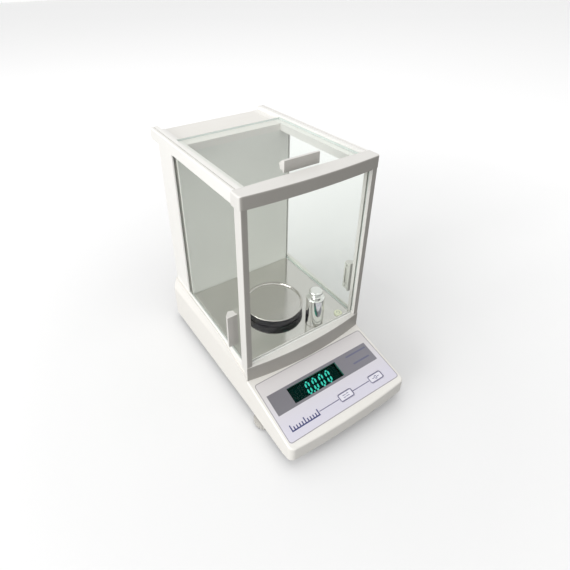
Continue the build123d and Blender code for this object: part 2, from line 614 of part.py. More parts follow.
with BuildPart() as mechanism_base:
    box_between((-CELL_HALF, CELL_Y[0], PLATE_TOP), (CELL_HALF, CELL_Y[1], CELL_TOP))
    for sign in SIDES.values():
        cheek = sorted([sign * CHEEK_X[0], sign * CHEEK_X[1]])
        box_between((cheek[0], CHEEK_Y[0], CELL_TOP), (cheek[1], CHEEK_Y[1], CHEEK_TOP))
    # Relieved under the load receiver and over the hook hole.
    with BuildSketch(Plane.XY.offset(PLATE_TOP)):
        with Locations((0, PAN_Y)):
            Circle(WEIGH_HOOK_HOLE)
    extrude(amount=CELL_TOP, mode=Mode.SUBTRACT)
    with BuildSketch(Plane.YZ):
        with Locations(LEVER_PIVOT):
            Circle(JOURNAL_RADIUS + 0.04)
    extrude(amount=CELL_HALF, both=True, mode=Mode.SUBTRACT)
    cheek_edges = mechanism_base.edges().filter_by(Axis.X)
    fillet(cheek_edges.filter_by(lambda e: e.center().Z > CHEEK_TOP - 1), radius=3)
mechanism_base.part.label = "mechanism_base"
export_step(mechanism_base.part, "parts/mechanism_base.step")

with BuildPart() as parallel_guides:
    for level in GUIDE_LEVELS:
        with BuildSketch(Plane.XY.offset(level)):
            with BuildLine():
                Polyline((-GUIDE_NOSE, RECEIVER_BACK + 0.6), (GUIDE_NOSE, RECEIVER_BACK + 0.6),
                         (GUIDE_HALF, CHEEK_Y[0]), (GUIDE_HALF, CHEEK_Y[1]), (-GUIDE_HALF, CHEEK_Y[1]),
                         (-GUIDE_HALF, CHEEK_Y[0]), (-GUIDE_NOSE, RECEIVER_BACK + 0.6))
            make_face()
            with Locations((0, sum(CHEEK_Y) / 2 + 1)):
                RectangleRounded(*GUIDE_WINDOW, 4, mode=Mode.SUBTRACT)
        extrude(amount=GUIDE_THICK)
parallel_guides.part.label = "parallel_guides"
export_step(parallel_guides.part, "parts/parallel_guides.step")

with BuildPart() as lever_beam:
    lever_rear = COIL_Y + 6
    box_between((-LEVER_HALF, LEVER_FRONT, LEVER_Z[0]), (LEVER_HALF, lever_rear, LEVER_Z[1]))
    box_between((-VANE_HALF, lever_rear, LEVER_Z[0] + 1), (VANE_HALF, lever_rear + VANE_LENGTH, LEVER_Z[1] - 1))
    with BuildSketch(Plane.YZ):
        with Locations(LEVER_PIVOT):
            Circle(PIN_RADIUS + 0.06)
        with Locations(*[(hole_y, LEVER_PIVOT[1]) for hole_y in LIGHTENING_Y]):
            Circle(LIGHTENING_RADIUS)
    extrude(amount=2 * LEVER_HALF, both=True, mode=Mode.SUBTRACT)
lever_beam.part.label = "lever_beam"
export_step(lever_beam.part, "parts/lever_beam.step")

with BuildPart() as lever_pin:
    with BuildSketch(Plane.YZ):
        with Locations(LEVER_PIVOT):
            Circle(PIN_RADIUS)
    extrude(amount=CHEEK_X[1], both=True)
    for sign in SIDES.values():
        with BuildSketch(Plane.YZ.offset(sign * CHEEK_X[0])):
            with Locations(LEVER_PIVOT):
                Circle(JOURNAL_RADIUS)
        extrude(amount=sign * (CHEEK_X[1] - CHEEK_X[0]))
lever_pin.part.label = "lever_pin"
export_step(lever_pin.part, "parts/lever_pin.step")

with BuildPart() as coil:
    with BuildSketch(Plane.XY.offset(COIL_BOTTOM)):
        with Locations((0, COIL_Y)):
            Circle(COIL_RADIUS)
            Circle(COIL_BORE, mode=Mode.SUBTRACT)
    extrude(amount=COIL_CAP - COIL_BOTTOM)
    with BuildSketch(Plane.XY.offset(COIL_CAP)):
        with Locations((0, COIL_Y)):
            Circle(COIL_RADIUS)
    extrude(amount=LEVER_Z[0] - COIL_CAP)
coil.part.label = "coil"
export_step(coil.part, "parts/coil.step")

with BuildPart() as magnet_pot:
    with BuildSketch(Plane.XY.offset(CELL_TOP)):
        with Locations((0, COIL_Y)):
            Circle(MAGNET_RADIUS)
    extrude(amount=MAGNET_HEIGHT)
    with BuildSketch(Plane.XY.offset(MAGNET_GAP_FLOOR)):
        with Locations((0, COIL_Y)):
            Circle(MAGNET_GAP[1])
            Circle(MAGNET_GAP[0], mode=Mode.SUBTRACT)
    extrude(amount=MAGNET_HEIGHT, mode=Mode.SUBTRACT)
magnet_pot.part.label = "magnet_pot"
export_step(magnet_pot.part, "parts/magnet_pot.step")

with BuildPart() as position_sensor:
    box_between((-6, COIL_Y + 22.5, CELL_TOP), (6, COIL_Y + 29, SENSOR_TOP))
    for sign in SIDES.values():
        prong = sorted([sign * 2.0, sign * 6.0])
        box_between((prong[0], COIL_Y + 16, SENSOR_FORK), (prong[1], COIL_Y + 22.5, SENSOR_TOP))
position_sensor.part.label = "position_sensor"
export_step(position_sensor.part, "parts/position_sensor.step")

# ---------------------------------------------------------------- electronics
BOARD_TOP = BOARD_Z + BOARD_THICK
PROCESSOR = (14.0, 14.0, 2.2)
CONVERTER = (10.0, 16.0, 2.2)
REGULATOR = (7.5, 18.0, 3.4)
RELAY = (10.0, 10.0, 9.0)
CAPACITORS = [(-56, 96), (-72, 98), (-56, 110)]
CAPACITOR_RADIUS = 5.0
CAPACITOR_HEIGHT = 16.0
RIBBON_SOCKET = (30.0, 7.0, 8.0)
RIBBON_Y = -18.5
TRANSFORMER_AT = (66.0, 94.0)
CORE_SIZE = (40.0, 48.0)
CORE_TOP = 50.0
WINDING_SIZE = (26.0, 40.0)
WINDING_HEIGHT = 9.0
STRAP_SIZE = (52.0, 12.0)
STRAP_THICK = 2.0


def on_board(x, y, size):
    """A box standing on the main board, with its middle at (x, y)."""
    with Locations((x, y, BOARD_TOP)):
        Box(*size, align=(Align.CENTER, Align.CENTER, Align.MIN))


with BuildPart() as main_board:
    box_between((BOARD_X[0], BOARD_Y[0], BOARD_Z), (BOARD_X[1], BOARD_Y[1], BOARD_TOP))
main_board.part.label = "main_board"
export_step(main_board.part, "parts/main_board.step")

with BuildPart() as board_parts:
    on_board(-66, 20, PROCESSOR)
    on_board(-66, 48, CONVERTER)
    on_board(-54, 70, REGULATOR)
    on_board(-74, 72, RELAY)
    with BuildSketch(Plane.XY.offset(BOARD_TOP)):
        with Locations(*CAPACITORS):
            Circle(CAPACITOR_RADIUS)
    extrude(amount=CAPACITOR_HEIGHT)
    # The socket that the ribbon cable plugs into.
    on_board(-65, RIBBON_Y, RIBBON_SOCKET)
board_parts.part.label = "board_parts"
export_step(board_parts.part, "parts/board_parts.step")

RIBBON_X = (-78.0, -52.0)
RIBBON_LEVEL = 36.0
RIBBON_THICK = 1.0
with BuildPart() as ribbon_cable:
    with BuildSketch(Plane.YZ.offset(RIBBON_X[0])):
        with BuildLine() as ribbon_line:
            FilletPolyline((RIBBON_Y, BOARD_TOP + RIBBON_SOCKET[2] + 0.1), (RIBBON_Y, RIBBON_LEVEL),
                           (-86.5, RIBBON_LEVEL), (-90.0, RIBBON_LEVEL + 7.6), radius=3)
        trace(ribbon_line.line, line_width=RIBBON_THICK)
    extrude(amount=RIBBON_X[1] - RIBBON_X[0])
ribbon_cable.part.label = "ribbon_cable"
export_step(ribbon_cable.part, "parts/ribbon_cable.step")

with BuildPart() as transformer:
    with Locations((*TRANSFORMER_AT, PLATE_TOP)):
        Box(*CORE_SIZE, CORE_TOP - PLATE_TOP, align=(Align.CENTER, Align.CENTER, Align.MIN))
    fillet(transformer.edges().filter_by(Axis.Z), radius=1.5)
    with Locations((*TRANSFORMER_AT, PLATE_TOP)):
        Box(*STRAP_SIZE, STRAP_THICK, align=(Align.CENTER, Align.CENTER, Align.MIN))
    with BuildSketch(Plane.XY.offset(CORE_TOP)):
        with Locations(TRANSFORMER_AT):
            RectangleRounded(*WINDING_SIZE, 6)
    extrude(amount=WINDING_HEIGHT)
transformer.part.label = "transformer"
export_step(transformer.part, "parts/transformer.step")

# ---------------------------------------------------------------- rear sockets and switch
PIN_SPACING = 14.0
PIN_SIZE = (2.0, 4.0)
PIN_LENGTH = 15.0
FLANGE_SIZE = (48.0, 28.0)
FLANGE_THICK = 3.0
FLANGE_SCREW = 20.0  # from the inlet's middle to each fixing hole
INLET_DEPTH = 20.0
INLET_MOUTH = (24.4, 16.6)
INLET_CORNER = 4.5


def rear_face(at):
    """A plane on the rear wall of the base, at a socket's middle, facing out."""
    return Plane(origin=(at[0], BASE_REAR, at[1]), x_dir=(-1, 0, 0), z_dir=(0, 1, 0))


INLET_FACE = rear_face(INLET_AT)
SWITCH_FACE = rear_face(SWITCH_AT)
PORT_FACE = rear_face(PORT_AT)

with BuildPart() as power_inlet:
    with BuildSketch(INLET_FACE):
        RectangleRounded(*FLANGE_SIZE, 6)
    extrude(amount=FLANGE_THICK)
    with BuildSketch(INLET_FACE):
        Rectangle(INLET_SIZE[0] - 0.3, INLET_SIZE[1] - 0.3)
    extrude(amount=-INLET_DEPTH)
    with BuildSketch(INLET_FACE.offset(FLANGE_THICK)) as socket_mouth:
        Rectangle(*INLET_MOUTH)
        chamfer(socket_mouth.vertices().group_by(Axis.Y)[-1], length=INLET_CORNER)
    extrude(amount=-(FLANGE_THICK + PIN_LENGTH + PAST), mode=Mode.SUBTRACT)
    # Three flat pins stand in the socket.
    with BuildSketch(INLET_FACE.offset(-PIN_LENGTH - PAST)):
        with Locations((-PIN_SPACING / 2, -2), (PIN_SPACING / 2, -2), (0, 2)):
            Rectangle(*PIN_SIZE)
    extrude(amount=PIN_LENGTH)
    with BuildSketch(INLET_FACE.offset(FLANGE_THICK)):
        with Locations((-FLANGE_SCREW, 0), (FLANGE_SCREW, 0)):
            Circle(1.6)
    extrude(amount=-FLANGE_THICK, mode=Mode.SUBTRACT)
power_inlet.part.label = "power_inlet"
export_step(power_inlet.part, "parts/power_inlet.step")

ROCKER_Y = BASE_REAR - 1.0
ROCKER_AXIS = Plane(origin=(SWITCH_AT[0], ROCKER_Y, SWITCH_AT[1]), x_dir=(0, 1, 0), z_dir=(1, 0, 0))
TRUNNION_RADIUS = 1.5
TRUNNION_REACH = 5.9  # from the rocker's middle into the housing's side walls
BEZEL_SIZE = (16.5, 22.5)
BEZEL_THICK = 1.8
SWITCH_DEPTH = 14.0
ROCKER_WELL = (10.4, 16.6)
ROCKER_WIDTH = 9.8
with BuildPart() as switch_housing:
    with BuildSketch(SWITCH_FACE):
        RectangleRounded(*BEZEL_SIZE, 1.5)
    extrude(amount=BEZEL_THICK)
    with BuildSketch(SWITCH_FACE):
        Rectangle(SWITCH_SIZE[0] - 2 * EASE, SWITCH_SIZE[1] - 2 * EASE)
    extrude(amount=-SWITCH_DEPTH)
    with BuildSketch(SWITCH_FACE.offset(BEZEL_THICK)):
        Rectangle(*ROCKER_WELL)
    extrude(amount=-10, mode=Mode.SUBTRACT)
    with BuildSketch(ROCKER_AXIS):
        Circle(TRUNNION_RADIUS + 0.08)
    extrude(amount=TRUNNION_REACH + GAP, both=True, mode=Mode.SUBTRACT)
switch_housing.part.label = "switch_housing"
export_step(switch_housing.part, "parts/switch_housing.step")

with BuildPart() as power_rocker:
    with BuildSketch(ROCKER_AXIS):
        with BuildLine():
            Polyline((-2.5, -4), (-1.4, -7.4), (3.2, -7.6))
            ThreePointArc((3.2, -7.6), (2.0, 0), (3.2, 7.6))
            Polyline((3.2, 7.6), (-1.4, 7.4), (-2.5, 4), (-2.5, -4))
        make_face()
    extrude(amount=ROCKER_WIDTH / 2, both=True)
    with BuildSketch(ROCKER_AXIS):
        Circle(TRUNNION_RADIUS)
    extrude(amount=TRUNNION_REACH, both=True)
power_rocker.part.label = "power_rocker"
export_step(power_rocker.part, "parts/power_rocker.step")

PORT_PLATE = (31.0, 12.6)
PORT_PLATE_THICK = 0.8
PORT_DEPTH = 12.0
SHELL_SIZE = (17.6, 8.8)
SHELL_WALL = 0.6
SHELL_HEIGHT = 5.0
CONTACT_PITCH = 2.76
CONTACT_ROW = 1.4  # from the plug's middle to each row
CONTACT_RADIUS = 0.5
JACK_SCREW = 12.5  # from the plug's middle to each hexagonal jack screw
JACK_RADIUS = 2.8
with BuildPart() as serial_port:
    with BuildSketch(PORT_FACE):
        RectangleRounded(*PORT_PLATE, 1.5)
    extrude(amount=PORT_PLATE_THICK)
    with BuildSketch(PORT_FACE):
        Rectangle(PORT_SIZE[0] - 0.4, PORT_SIZE[1] - 0.4)
    extrude(amount=-PORT_DEPTH)
    with BuildSketch(PORT_FACE.offset(PORT_PLATE_THICK)) as plug_shell:
        Trapezoid(*SHELL_SIZE, 80)
        fillet(plug_shell.vertices(), radius=1.6)
    extrude(amount=SHELL_HEIGHT)
    with BuildSketch(PORT_FACE.offset(PORT_PLATE_THICK + SHELL_HEIGHT)) as plug_mouth:
        Trapezoid(SHELL_SIZE[0] - 2 * SHELL_WALL, SHELL_SIZE[1] - 2 * SHELL_WALL, 80)
        fillet(plug_mouth.vertices(), radius=1.2)
    extrude(amount=-SHELL_HEIGHT - PAST, mode=Mode.SUBTRACT)
    with BuildSketch(PORT_FACE.offset(-0.4)):
        with Locations((0, CONTACT_ROW)):
            with GridLocations(CONTACT_PITCH, 0, 5, 1):
                Circle(CONTACT_RADIUS)
        with Locations((0, -CONTACT_ROW)):
            with GridLocations(CONTACT_PITCH, 0, 4, 1):
                Circle(CONTACT_RADIUS)
    extrude(amount=SHELL_HEIGHT)
    # Hexagonal jack screws, one each side.
    with BuildSketch(PORT_FACE.offset(PORT_PLATE_THICK)):
        with Locations((-JACK_SCREW, 0), (JACK_SCREW, 0)):
            RegularPolygon(JACK_RADIUS, 6)
            Circle(JACK_RADIUS / 2, mode=Mode.SUBTRACT)
    extrude(amount=4.5)
serial_port.part.label = "serial_port"
export_step(serial_port.part, "parts/serial_port.step")

# ---------------------------------------------------------------- draught shield: fixed frame
PANE_HALF = 94.0  # half width of the fixed front pane
PANE_BITE = 3.8  # how far the pane stands in its grooves
PANE_SLOT = (GLASS_FRONT - 0.3, GLASS_FRONT + GLASS + 0.3)
DOOR_BITE = 4.6  # depth of the side doors' upper grooves
BEAM_HALF = 101.5
BEAM_CORNER = 5.0
TOP_DOOR_HALF = 87.6
TOP_SLOT_HALF = TOP_DOOR_HALF + 0.6
LEDGE_TOP = 343.0
with BuildPart() as front_bottom_rail:
    with BuildSketch(Plane.XY.offset(RAIL_FOOT - RAIL_BOW)):
        with BuildLine():
            ThreePointArc((-FRAME_HALF, FRAME_FRONT), (0, FRAME_FRONT - RAIL_BOW), (FRAME_HALF, FRAME_FRONT))
            Polyline((FRAME_HALF, FRAME_FRONT), (FRAME_HALF, RAIL_BACK), (-FRAME_HALF, RAIL_BACK),
                     (-FRAME_HALF, FRAME_FRONT))
        make_face()
    extrude(amount=RAIL_TOP - RAIL_FOOT + RAIL_BOW)
    with BuildSketch(Plane.YZ):
        with BuildLine():
            Polyline((RAIL_BACK, RAIL_FOOT), (FRAME_FRONT, RAIL_FOOT),
                     (FRAME_FRONT - 2 * RAIL_BOW, RAIL_FOOT - 2 * RAIL_BOW * PANEL_SLOPE),
                     (FRAME_FRONT - 2 * RAIL_BOW, RAIL_TOP),
                     (RAIL_BACK, RAIL_TOP), (RAIL_BACK, RAIL_FOOT))
        make_face()
    extrude(amount=FRAME_HALF + PAST, both=True, mode=Mode.INTERSECT)
    fillet(front_bottom_rail.faces().sort_by(Axis.Z)[-1].edges().sort_by(Axis.Y)[0], radius=1.6)
    box_between((-PANE_HALF - GAP, PANE_SLOT[0], RAIL_TOP - PANE_BITE - GAP),
                (PANE_HALF + GAP, PANE_SLOT[1], RAIL_TOP + PAST), mode=Mode.SUBTRACT)
front_bottom_rail.part.label = "front_bottom_rail"
export_step(front_bottom_rail.part, "parts/front_bottom_rail.step")

with BuildPart() as front_beam:
    with BuildSketch(Plane.XY.offset(BEAM_BOTTOM)) as beam_plan:
        with BuildLine():
            ThreePointArc((-BEAM_HALF, FRAME_FRONT - 0.5), (0, FRAME_FRONT - BEAM_BOW), (BEAM_HALF, FRAME_FRONT - 0.5))
            Polyline((BEAM_HALF, FRAME_FRONT - 0.5), (BEAM_HALF, BEAM_BACK), (-BEAM_HALF, BEAM_BACK),
                     (-BEAM_HALF, FRAME_FRONT - 0.5))
        make_face()
        fillet(beam_plan.vertices().sort_by(Axis.Y)[:2], radius=BEAM_CORNER)
    extrude(amount=BEAM_HEIGHT)
    beam_top = front_beam.faces().sort_by(Axis.Z)[-1]
    fillet(beam_top.edges().filter_by(lambda e: e.center().Y < BEAM_BACK - 1), radius=2)
    # Grooves for the fixed pane and the side doors below, and for the top door behind.
    box_between((-PANE_HALF - GAP, PANE_SLOT[0], BEAM_BOTTOM - PAST),
                (PANE_HALF + GAP, PANE_SLOT[1], BEAM_BOTTOM + PANE_BITE + GAP), mode=Mode.SUBTRACT)
    for sign in SIDES.values():
        groove = sorted([sign * SLOT_INNER, sign * SLOT_OUTER])
        box_between((groove[0], DOOR_FRONT - 0.5, BEAM_BOTTOM - PAST),
                    (groove[1], BEAM_BACK + PAST, BEAM_BOTTOM + DOOR_BITE), mode=Mode.SUBTRACT)
    box_between((-TOP_SLOT_HALF, BEAM_BACK - 3.6, LEDGE_TOP), (TOP_SLOT_HALF, BEAM_BACK + PAST, LEDGE_TOP + 3.6),
                mode=Mode.SUBTRACT)
front_beam.part.label = "front_beam"
export_step(front_beam.part, "parts/front_beam.step")

TRACK_INNER = 94.0
TRACK_TOP = DOOR_BOTTOM - 0.3  # floor of the grooves that the side doors run in
TRACK_LIP_TOP = 88.0
SEAM = (94.4, 95.8)  # the narrow groove along each top rail
SEAM_DEPTH = 1.6
for side, sign in SIDES.items():
    inner, outer = sign * (FRAME_HALF - POST_WIDTH), sign * FRAME_HALF
    groove = sorted([sign * SLOT_INNER, sign * SLOT_OUTER])

    with BuildPart() as front_post:
        low, high = sorted([inner, outer])
        box_between((low, FRAME_FRONT, RAIL_TOP), (high, POST_BACK, BEAM_BOTTOM))
        fillet(front_post.edges().filter_by(Axis.Z).group_by(Axis.Y)[0].sort_by(Axis.X)[0 if sign < 0 else -1],
               radius=1.8)
        box_between((low, RAIL_BACK + EASE, RECESS_FLOOR), (high, POST_BACK, RAIL_TOP))
        # Grooves for the side door, open to the rear, and for the fixed front pane.
        box_between((groove[0], DOOR_FRONT - 0.5, TRACK_TOP), (groove[1], POST_BACK + PAST, BEAM_BOTTOM + PAST),
                    mode=Mode.SUBTRACT)
        pane = sorted([sign * (FRAME_HALF - POST_WIDTH - PAST), sign * (PANE_HALF + GAP)])
        box_between((pane[0], PANE_SLOT[0], RAIL_TOP - PAST), (pane[1], PANE_SLOT[1], BEAM_BOTTOM + PAST),
                    mode=Mode.SUBTRACT)
    front_post.part.label = f"{side}_post"
    export_step(front_post.part, f"parts/{side}_post.step")

    with BuildPart() as top_rail:
        low, high = sorted([sign * (FRAME_HALF - RAIL_WIDTH), outer])
        box_between((low, BEAM_BACK, BEAM_BOTTOM), (high, CAP_REAR, FRAME_TOP))
        fillet(top_rail.edges().filter_by(Axis.Y).group_by(Axis.Z)[-1].sort_by(Axis.X)[0 if sign < 0 else -1],
               radius=1.5)
        # The ledge that the top door slides on.
        ledge = sorted([sign * (FRAME_HALF - RAIL_WIDTH - PAST), sign * TOP_SLOT_HALF])
        box_between((ledge[0], BEAM_BACK - PAST, LEDGE_TOP), (ledge[1], CAP_REAR + PAST, FRAME_TOP + PAST),
                    mode=Mode.SUBTRACT)
        # A narrow decorative groove along the top, and the side door's groove below.
        seam = sorted([sign * SEAM[0], sign * SEAM[1]])
        box_between((seam[0], BEAM_BACK - PAST, FRAME_TOP - SEAM_DEPTH), (seam[1], CAP_REAR + PAST, FRAME_TOP + PAST),
                    mode=Mode.SUBTRACT)
        box_between((groove[0], BEAM_BACK - PAST, BEAM_BOTTOM - PAST),
                    (groove[1], CAP_REAR + PAST, BEAM_BOTTOM + DOOR_BITE), mode=Mode.SUBTRACT)
    top_rail.part.label = f"{side}_top_rail"
    export_step(top_rail.part, f"parts/{side}_top_rail.step")

    with BuildPart() as bottom_track:
        low, high = sorted([sign * TRACK_INNER, outer])
        box_between((low, POST_BACK + EASE, RECESS_FLOOR), (high, COLUMN_REAR, TRACK_TOP))
        lip = sorted([sign * SLOT_OUTER, outer])
        box_between((lip[0], POST_BACK + EASE, TRACK_TOP), (lip[1], COLUMN_REAR, TRACK_LIP_TOP))
        fillet(bottom_track.edges().filter_by(Axis.Y).group_by(Axis.Z)[-1].sort_by(Axis.X)[0 if sign < 0 else -1],
               radius=0.9)
    bottom_track.part.label = f"{side}_bottom_track"
    export_step(bottom_track.part, f"parts/{side}_bottom_track.step")

    with BuildPart() as column_skin:
        low, high = sorted([sign * SLOT_OUTER, outer])
        box_between((low, COLUMN_FRONT + 0.9, TRACK_LIP_TOP), (high, COLUMN_REAR, BEAM_BOTTOM))
    column_skin.part.label = f"{side}_column_skin"
    export_step(column_skin.part, f"parts/{side}_column_skin.step")

COVER = 2.5
COLUMN_HALF = 93.8
COVER_SCREWS = [(x, z) for x in (-84, 84) for z in (100, 210, 320)]
PILLAR_RADIUS = 5.0
LOUVRE_LEVEL = 285.0
LOUVRE_SIZE = (90.0, 3.0)
LOUVRE_PITCH = 8.0
LOUVRES = 5
CAP_HALF = FRAME_HALF - RAIL_WIDTH - EASE
SEAL_HALF = 91.6
SEAL_HEIGHT = 1.2
SEAL_THICK = 1.4
with BuildPart() as rear_column:
    box_between((-COLUMN_HALF, COLUMN_FRONT, RECESS_FLOOR), (COLUMN_HALF, COLUMN_REAR - COVER, BEAM_BOTTOM))
    box_between((-COLUMN_HALF + COVER, COLUMN_FRONT + COVER, RECESS_FLOOR + COVER),
                (COLUMN_HALF - COVER, COLUMN_REAR, BEAM_BOTTOM - COVER), mode=Mode.SUBTRACT)
    # Pillars that the rear cover's screws go into.
    with BuildSketch(Plane.XZ.offset(-COLUMN_FRONT)):
        with Locations(*COVER_SCREWS):
            Circle(PILLAR_RADIUS)
    extrude(amount=-(COLUMN_REAR - COVER - COLUMN_FRONT))
    with BuildSketch(Plane.XZ.offset(-(COLUMN_REAR - COVER))):
        with Locations(*COVER_SCREWS):
            Circle(PILOT_RADIUS)
    extrude(amount=PILOT_DEPTH, mode=Mode.SUBTRACT)
rear_column.part.label = "rear_column"
export_step(rear_column.part, "parts/rear_column.step")

with BuildPart() as rear_cover:
    box_between((-COLUMN_HALF, COLUMN_REAR - COVER, RECESS_FLOOR), (COLUMN_HALF, COLUMN_REAR, BEAM_BOTTOM))
    with BuildSketch(Plane.XZ.offset(-COLUMN_REAR - PAST)):
        with Locations(*COVER_SCREWS):
            Circle(SCREW_HOLE)
        with Locations((0, LOUVRE_LEVEL)):
            with GridLocations(0, LOUVRE_PITCH, 1, LOUVRES):
                SlotOverall(*LOUVRE_SIZE)
    extrude(amount=COVER + 2 * PAST, mode=Mode.SUBTRACT)
rear_cover.part.label = "rear_cover"
export_step(rear_cover.part, "parts/rear_cover.step")

with BuildPart() as rear_wall:
    box_between((-COLUMN_HALF, REAR_WALL_FRONT, RECESS_FLOOR), (COLUMN_HALF, COLUMN_FRONT, BEAM_BOTTOM))
rear_wall.part.label = "rear_wall"
export_step(rear_wall.part, "parts/rear_wall.step")

with BuildPart() as rear_cap:
    box_between((-CAP_HALF, REAR_WALL_FRONT, BEAM_BOTTOM), (CAP_HALF, CAP_REAR, LEDGE_TOP - 0.4))
    fillet(rear_cap.edges().filter_by(Axis.X).group_by(Axis.Y)[-1], radius=2)
rear_cap.part.label = "rear_cap"
export_step(rear_cap.part, "parts/rear_cap.step")

with BuildPart() as front_glass:
    box_between((-PANE_HALF, GLASS_FRONT, RAIL_TOP - PANE_BITE),
                (PANE_HALF, GLASS_FRONT + GLASS, BEAM_BOTTOM + PANE_BITE))
front_glass.part.label = "front_glass"
export_step(front_glass.part, "parts/front_glass.step")

with BuildPart() as front_glass_seal:
    box_between((-SEAL_HALF, GLASS_FRONT - SEAL_THICK, RAIL_TOP),
                (SEAL_HALF, GLASS_FRONT - 0.02, RAIL_TOP + SEAL_HEIGHT))
    box_between((-SEAL_HALF, GLASS_FRONT + GLASS + 0.02, RAIL_TOP), (SEAL_HALF, RAIL_BACK, RAIL_TOP + SEAL_HEIGHT))
front_glass_seal.part.label = "front_glass_seal"
export_step(front_glass_seal.part, "parts/front_glass_seal.step")

# ---------------------------------------------------------------- sliding doors
TOP_GLASS_Z = LEDGE_TOP + GAP
TOP_GLASS_REAR = 122.0
HANDLE_LENGTH = 52.0
HANDLE_PLATE = 3.0
HANDLE_HEIGHT = 15.0
HANDLE_END = 2.5  # the plate stands past the grip's body at each end
SIDE_HANDLE_LEVEL = 140.0
HOLLOW_OFFSET = 4.2  # from the plate's back to the middle of the moulded hollows
HOLLOW_SIZE = (30.0, 5.2)
HOLLOW_DEPTH = 2.0
DIMPLE_X = 19.5
DIMPLE_RADIUS = 1.5


def handle(plane):
    """A door handle lying along the plane's X, its plate facing the plane's -Y, rising along its Z."""
    with BuildPart() as grip:
        with BuildSketch(plane):
            with Locations((0, HANDLE_PLATE / 2)):
                Rectangle(HANDLE_LENGTH, HANDLE_PLATE)
        extrude(amount=HANDLE_HEIGHT)
        body_start = plane.origin - plane.x_dir * (HANDLE_LENGTH / 2 - HANDLE_END)
        side_plane = Plane(origin=body_start, x_dir=plane.y_dir, z_dir=plane.x_dir)
        with BuildSketch(side_plane):
            with BuildLine():
                Polyline((HANDLE_PLATE, 0), (HANDLE_PLATE, HANDLE_HEIGHT - 1.2),
                         (HANDLE_PLATE + 4, HANDLE_HEIGHT - 1.8), (HANDLE_PLATE + 11, HANDLE_HEIGHT - 8),
                         (HANDLE_PLATE + 9, 0), (HANDLE_PLATE, 0))
            make_face()
        extrude(amount=HANDLE_LENGTH - 2 * HANDLE_END)
        long_edges = grip.edges().filter_by(lambda e: e.length > HANDLE_LENGTH - 2 * HANDLE_END - 1)
        fillet(long_edges.group_by(Axis(plane.origin, plane.z_dir))[-1], radius=0.7)
        # Moulded hollows in the face that is stuck to the glass.
        with BuildSketch(plane):
            with Locations((0, HANDLE_PLATE + HOLLOW_OFFSET)):
                SlotOverall(*HOLLOW_SIZE)
                with Locations((-DIMPLE_X, 0), (DIMPLE_X, 0)):
                    Circle(DIMPLE_RADIUS)
        extrude(amount=HOLLOW_DEPTH, mode=Mode.SUBTRACT)
    return grip.part


for side, sign in SIDES.items():
    low, high = sorted([sign * DOOR_INNER, sign * (DOOR_INNER + GLASS)])
    with BuildPart() as door_glass:
        box_between((low, DOOR_FRONT, DOOR_BOTTOM), (high, DOOR_REAR, BEAM_BOTTOM + DOOR_BITE - 0.6))
    door_glass.part.label = f"{side}_door_glass"
    export_step(door_glass.part, f"parts/{side}_door_glass.step")

    grip_plane = Plane(origin=(sign * (DOOR_INNER + GLASS), FRAME_FRONT + 24, SIDE_HANDLE_LEVEL),
                       x_dir=(0, 0, -sign), z_dir=(sign, 0, 0))
    with BuildPart() as door_handle:
        add(handle(grip_plane))
    door_handle.part.label = f"{side}_door_handle"
    export_step(door_handle.part, f"parts/{side}_door_handle.step")

with BuildPart() as top_door_glass:
    box_between((-TOP_DOOR_HALF, BEAM_BACK - 3.0, TOP_GLASS_Z), (TOP_DOOR_HALF, TOP_GLASS_REAR, TOP_GLASS_Z + GLASS))
top_door_glass.part.label = "top_door_glass"
export_step(top_door_glass.part, "parts/top_door_glass.step")

with BuildPart() as top_door_handle:
    add(handle(Plane(origin=(1, FRAME_FRONT + 27, TOP_GLASS_Z + GLASS))))
top_door_handle.part.label = "top_door_handle"
export_step(top_door_handle.part, "parts/top_door_handle.step")

# ---------------------------------------------------------------- screws
HEAD_RADIUS = 3.0
HEAD_HEIGHT = 1.8
DRIVE_RADIUS = 1.2
DRIVE_FLOOR = 0.6  # thickness of the head under its drive
THREAD_RADIUS = 1.5
THREAD_LENGTH = 11.4


def screw(seat):
    """A screw whose head stands on the seat plane, facing along its Z."""
    with BuildPart() as fastener:
        with BuildSketch(seat):
            Circle(HEAD_RADIUS)
            RegularPolygon(DRIVE_RADIUS, 6, mode=Mode.SUBTRACT)
        extrude(amount=HEAD_HEIGHT)
        with BuildSketch(seat.offset(DRIVE_FLOOR)):
            Circle(THREAD_RADIUS)
        extrude(amount=-THREAD_LENGTH - DRIVE_FLOOR)
    return fastener.part


with BuildPart() as case_screws:
    for screw_x, screw_y in BOSSES:
        add(screw(Plane(origin=(screw_x, screw_y, BASE_BOTTOM), x_dir=(1, 0, 0), z_dir=(0, 0, -1))))
    for screw_x, screw_z in COVER_SCREWS:
        add(screw(Plane(origin=(screw_x, COLUMN_REAR, screw_z), x_dir=(-1, 0, 0), z_dir=(0, 1, 0))))
case_screws.part.label = "case_screws"
export_step(case_screws.part, "parts/case_screws.step")
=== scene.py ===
"""Analytical balance in a glass draught shield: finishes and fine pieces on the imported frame."""
import math
import bmesh
import bpy
from mathutils import Matrix, Vector


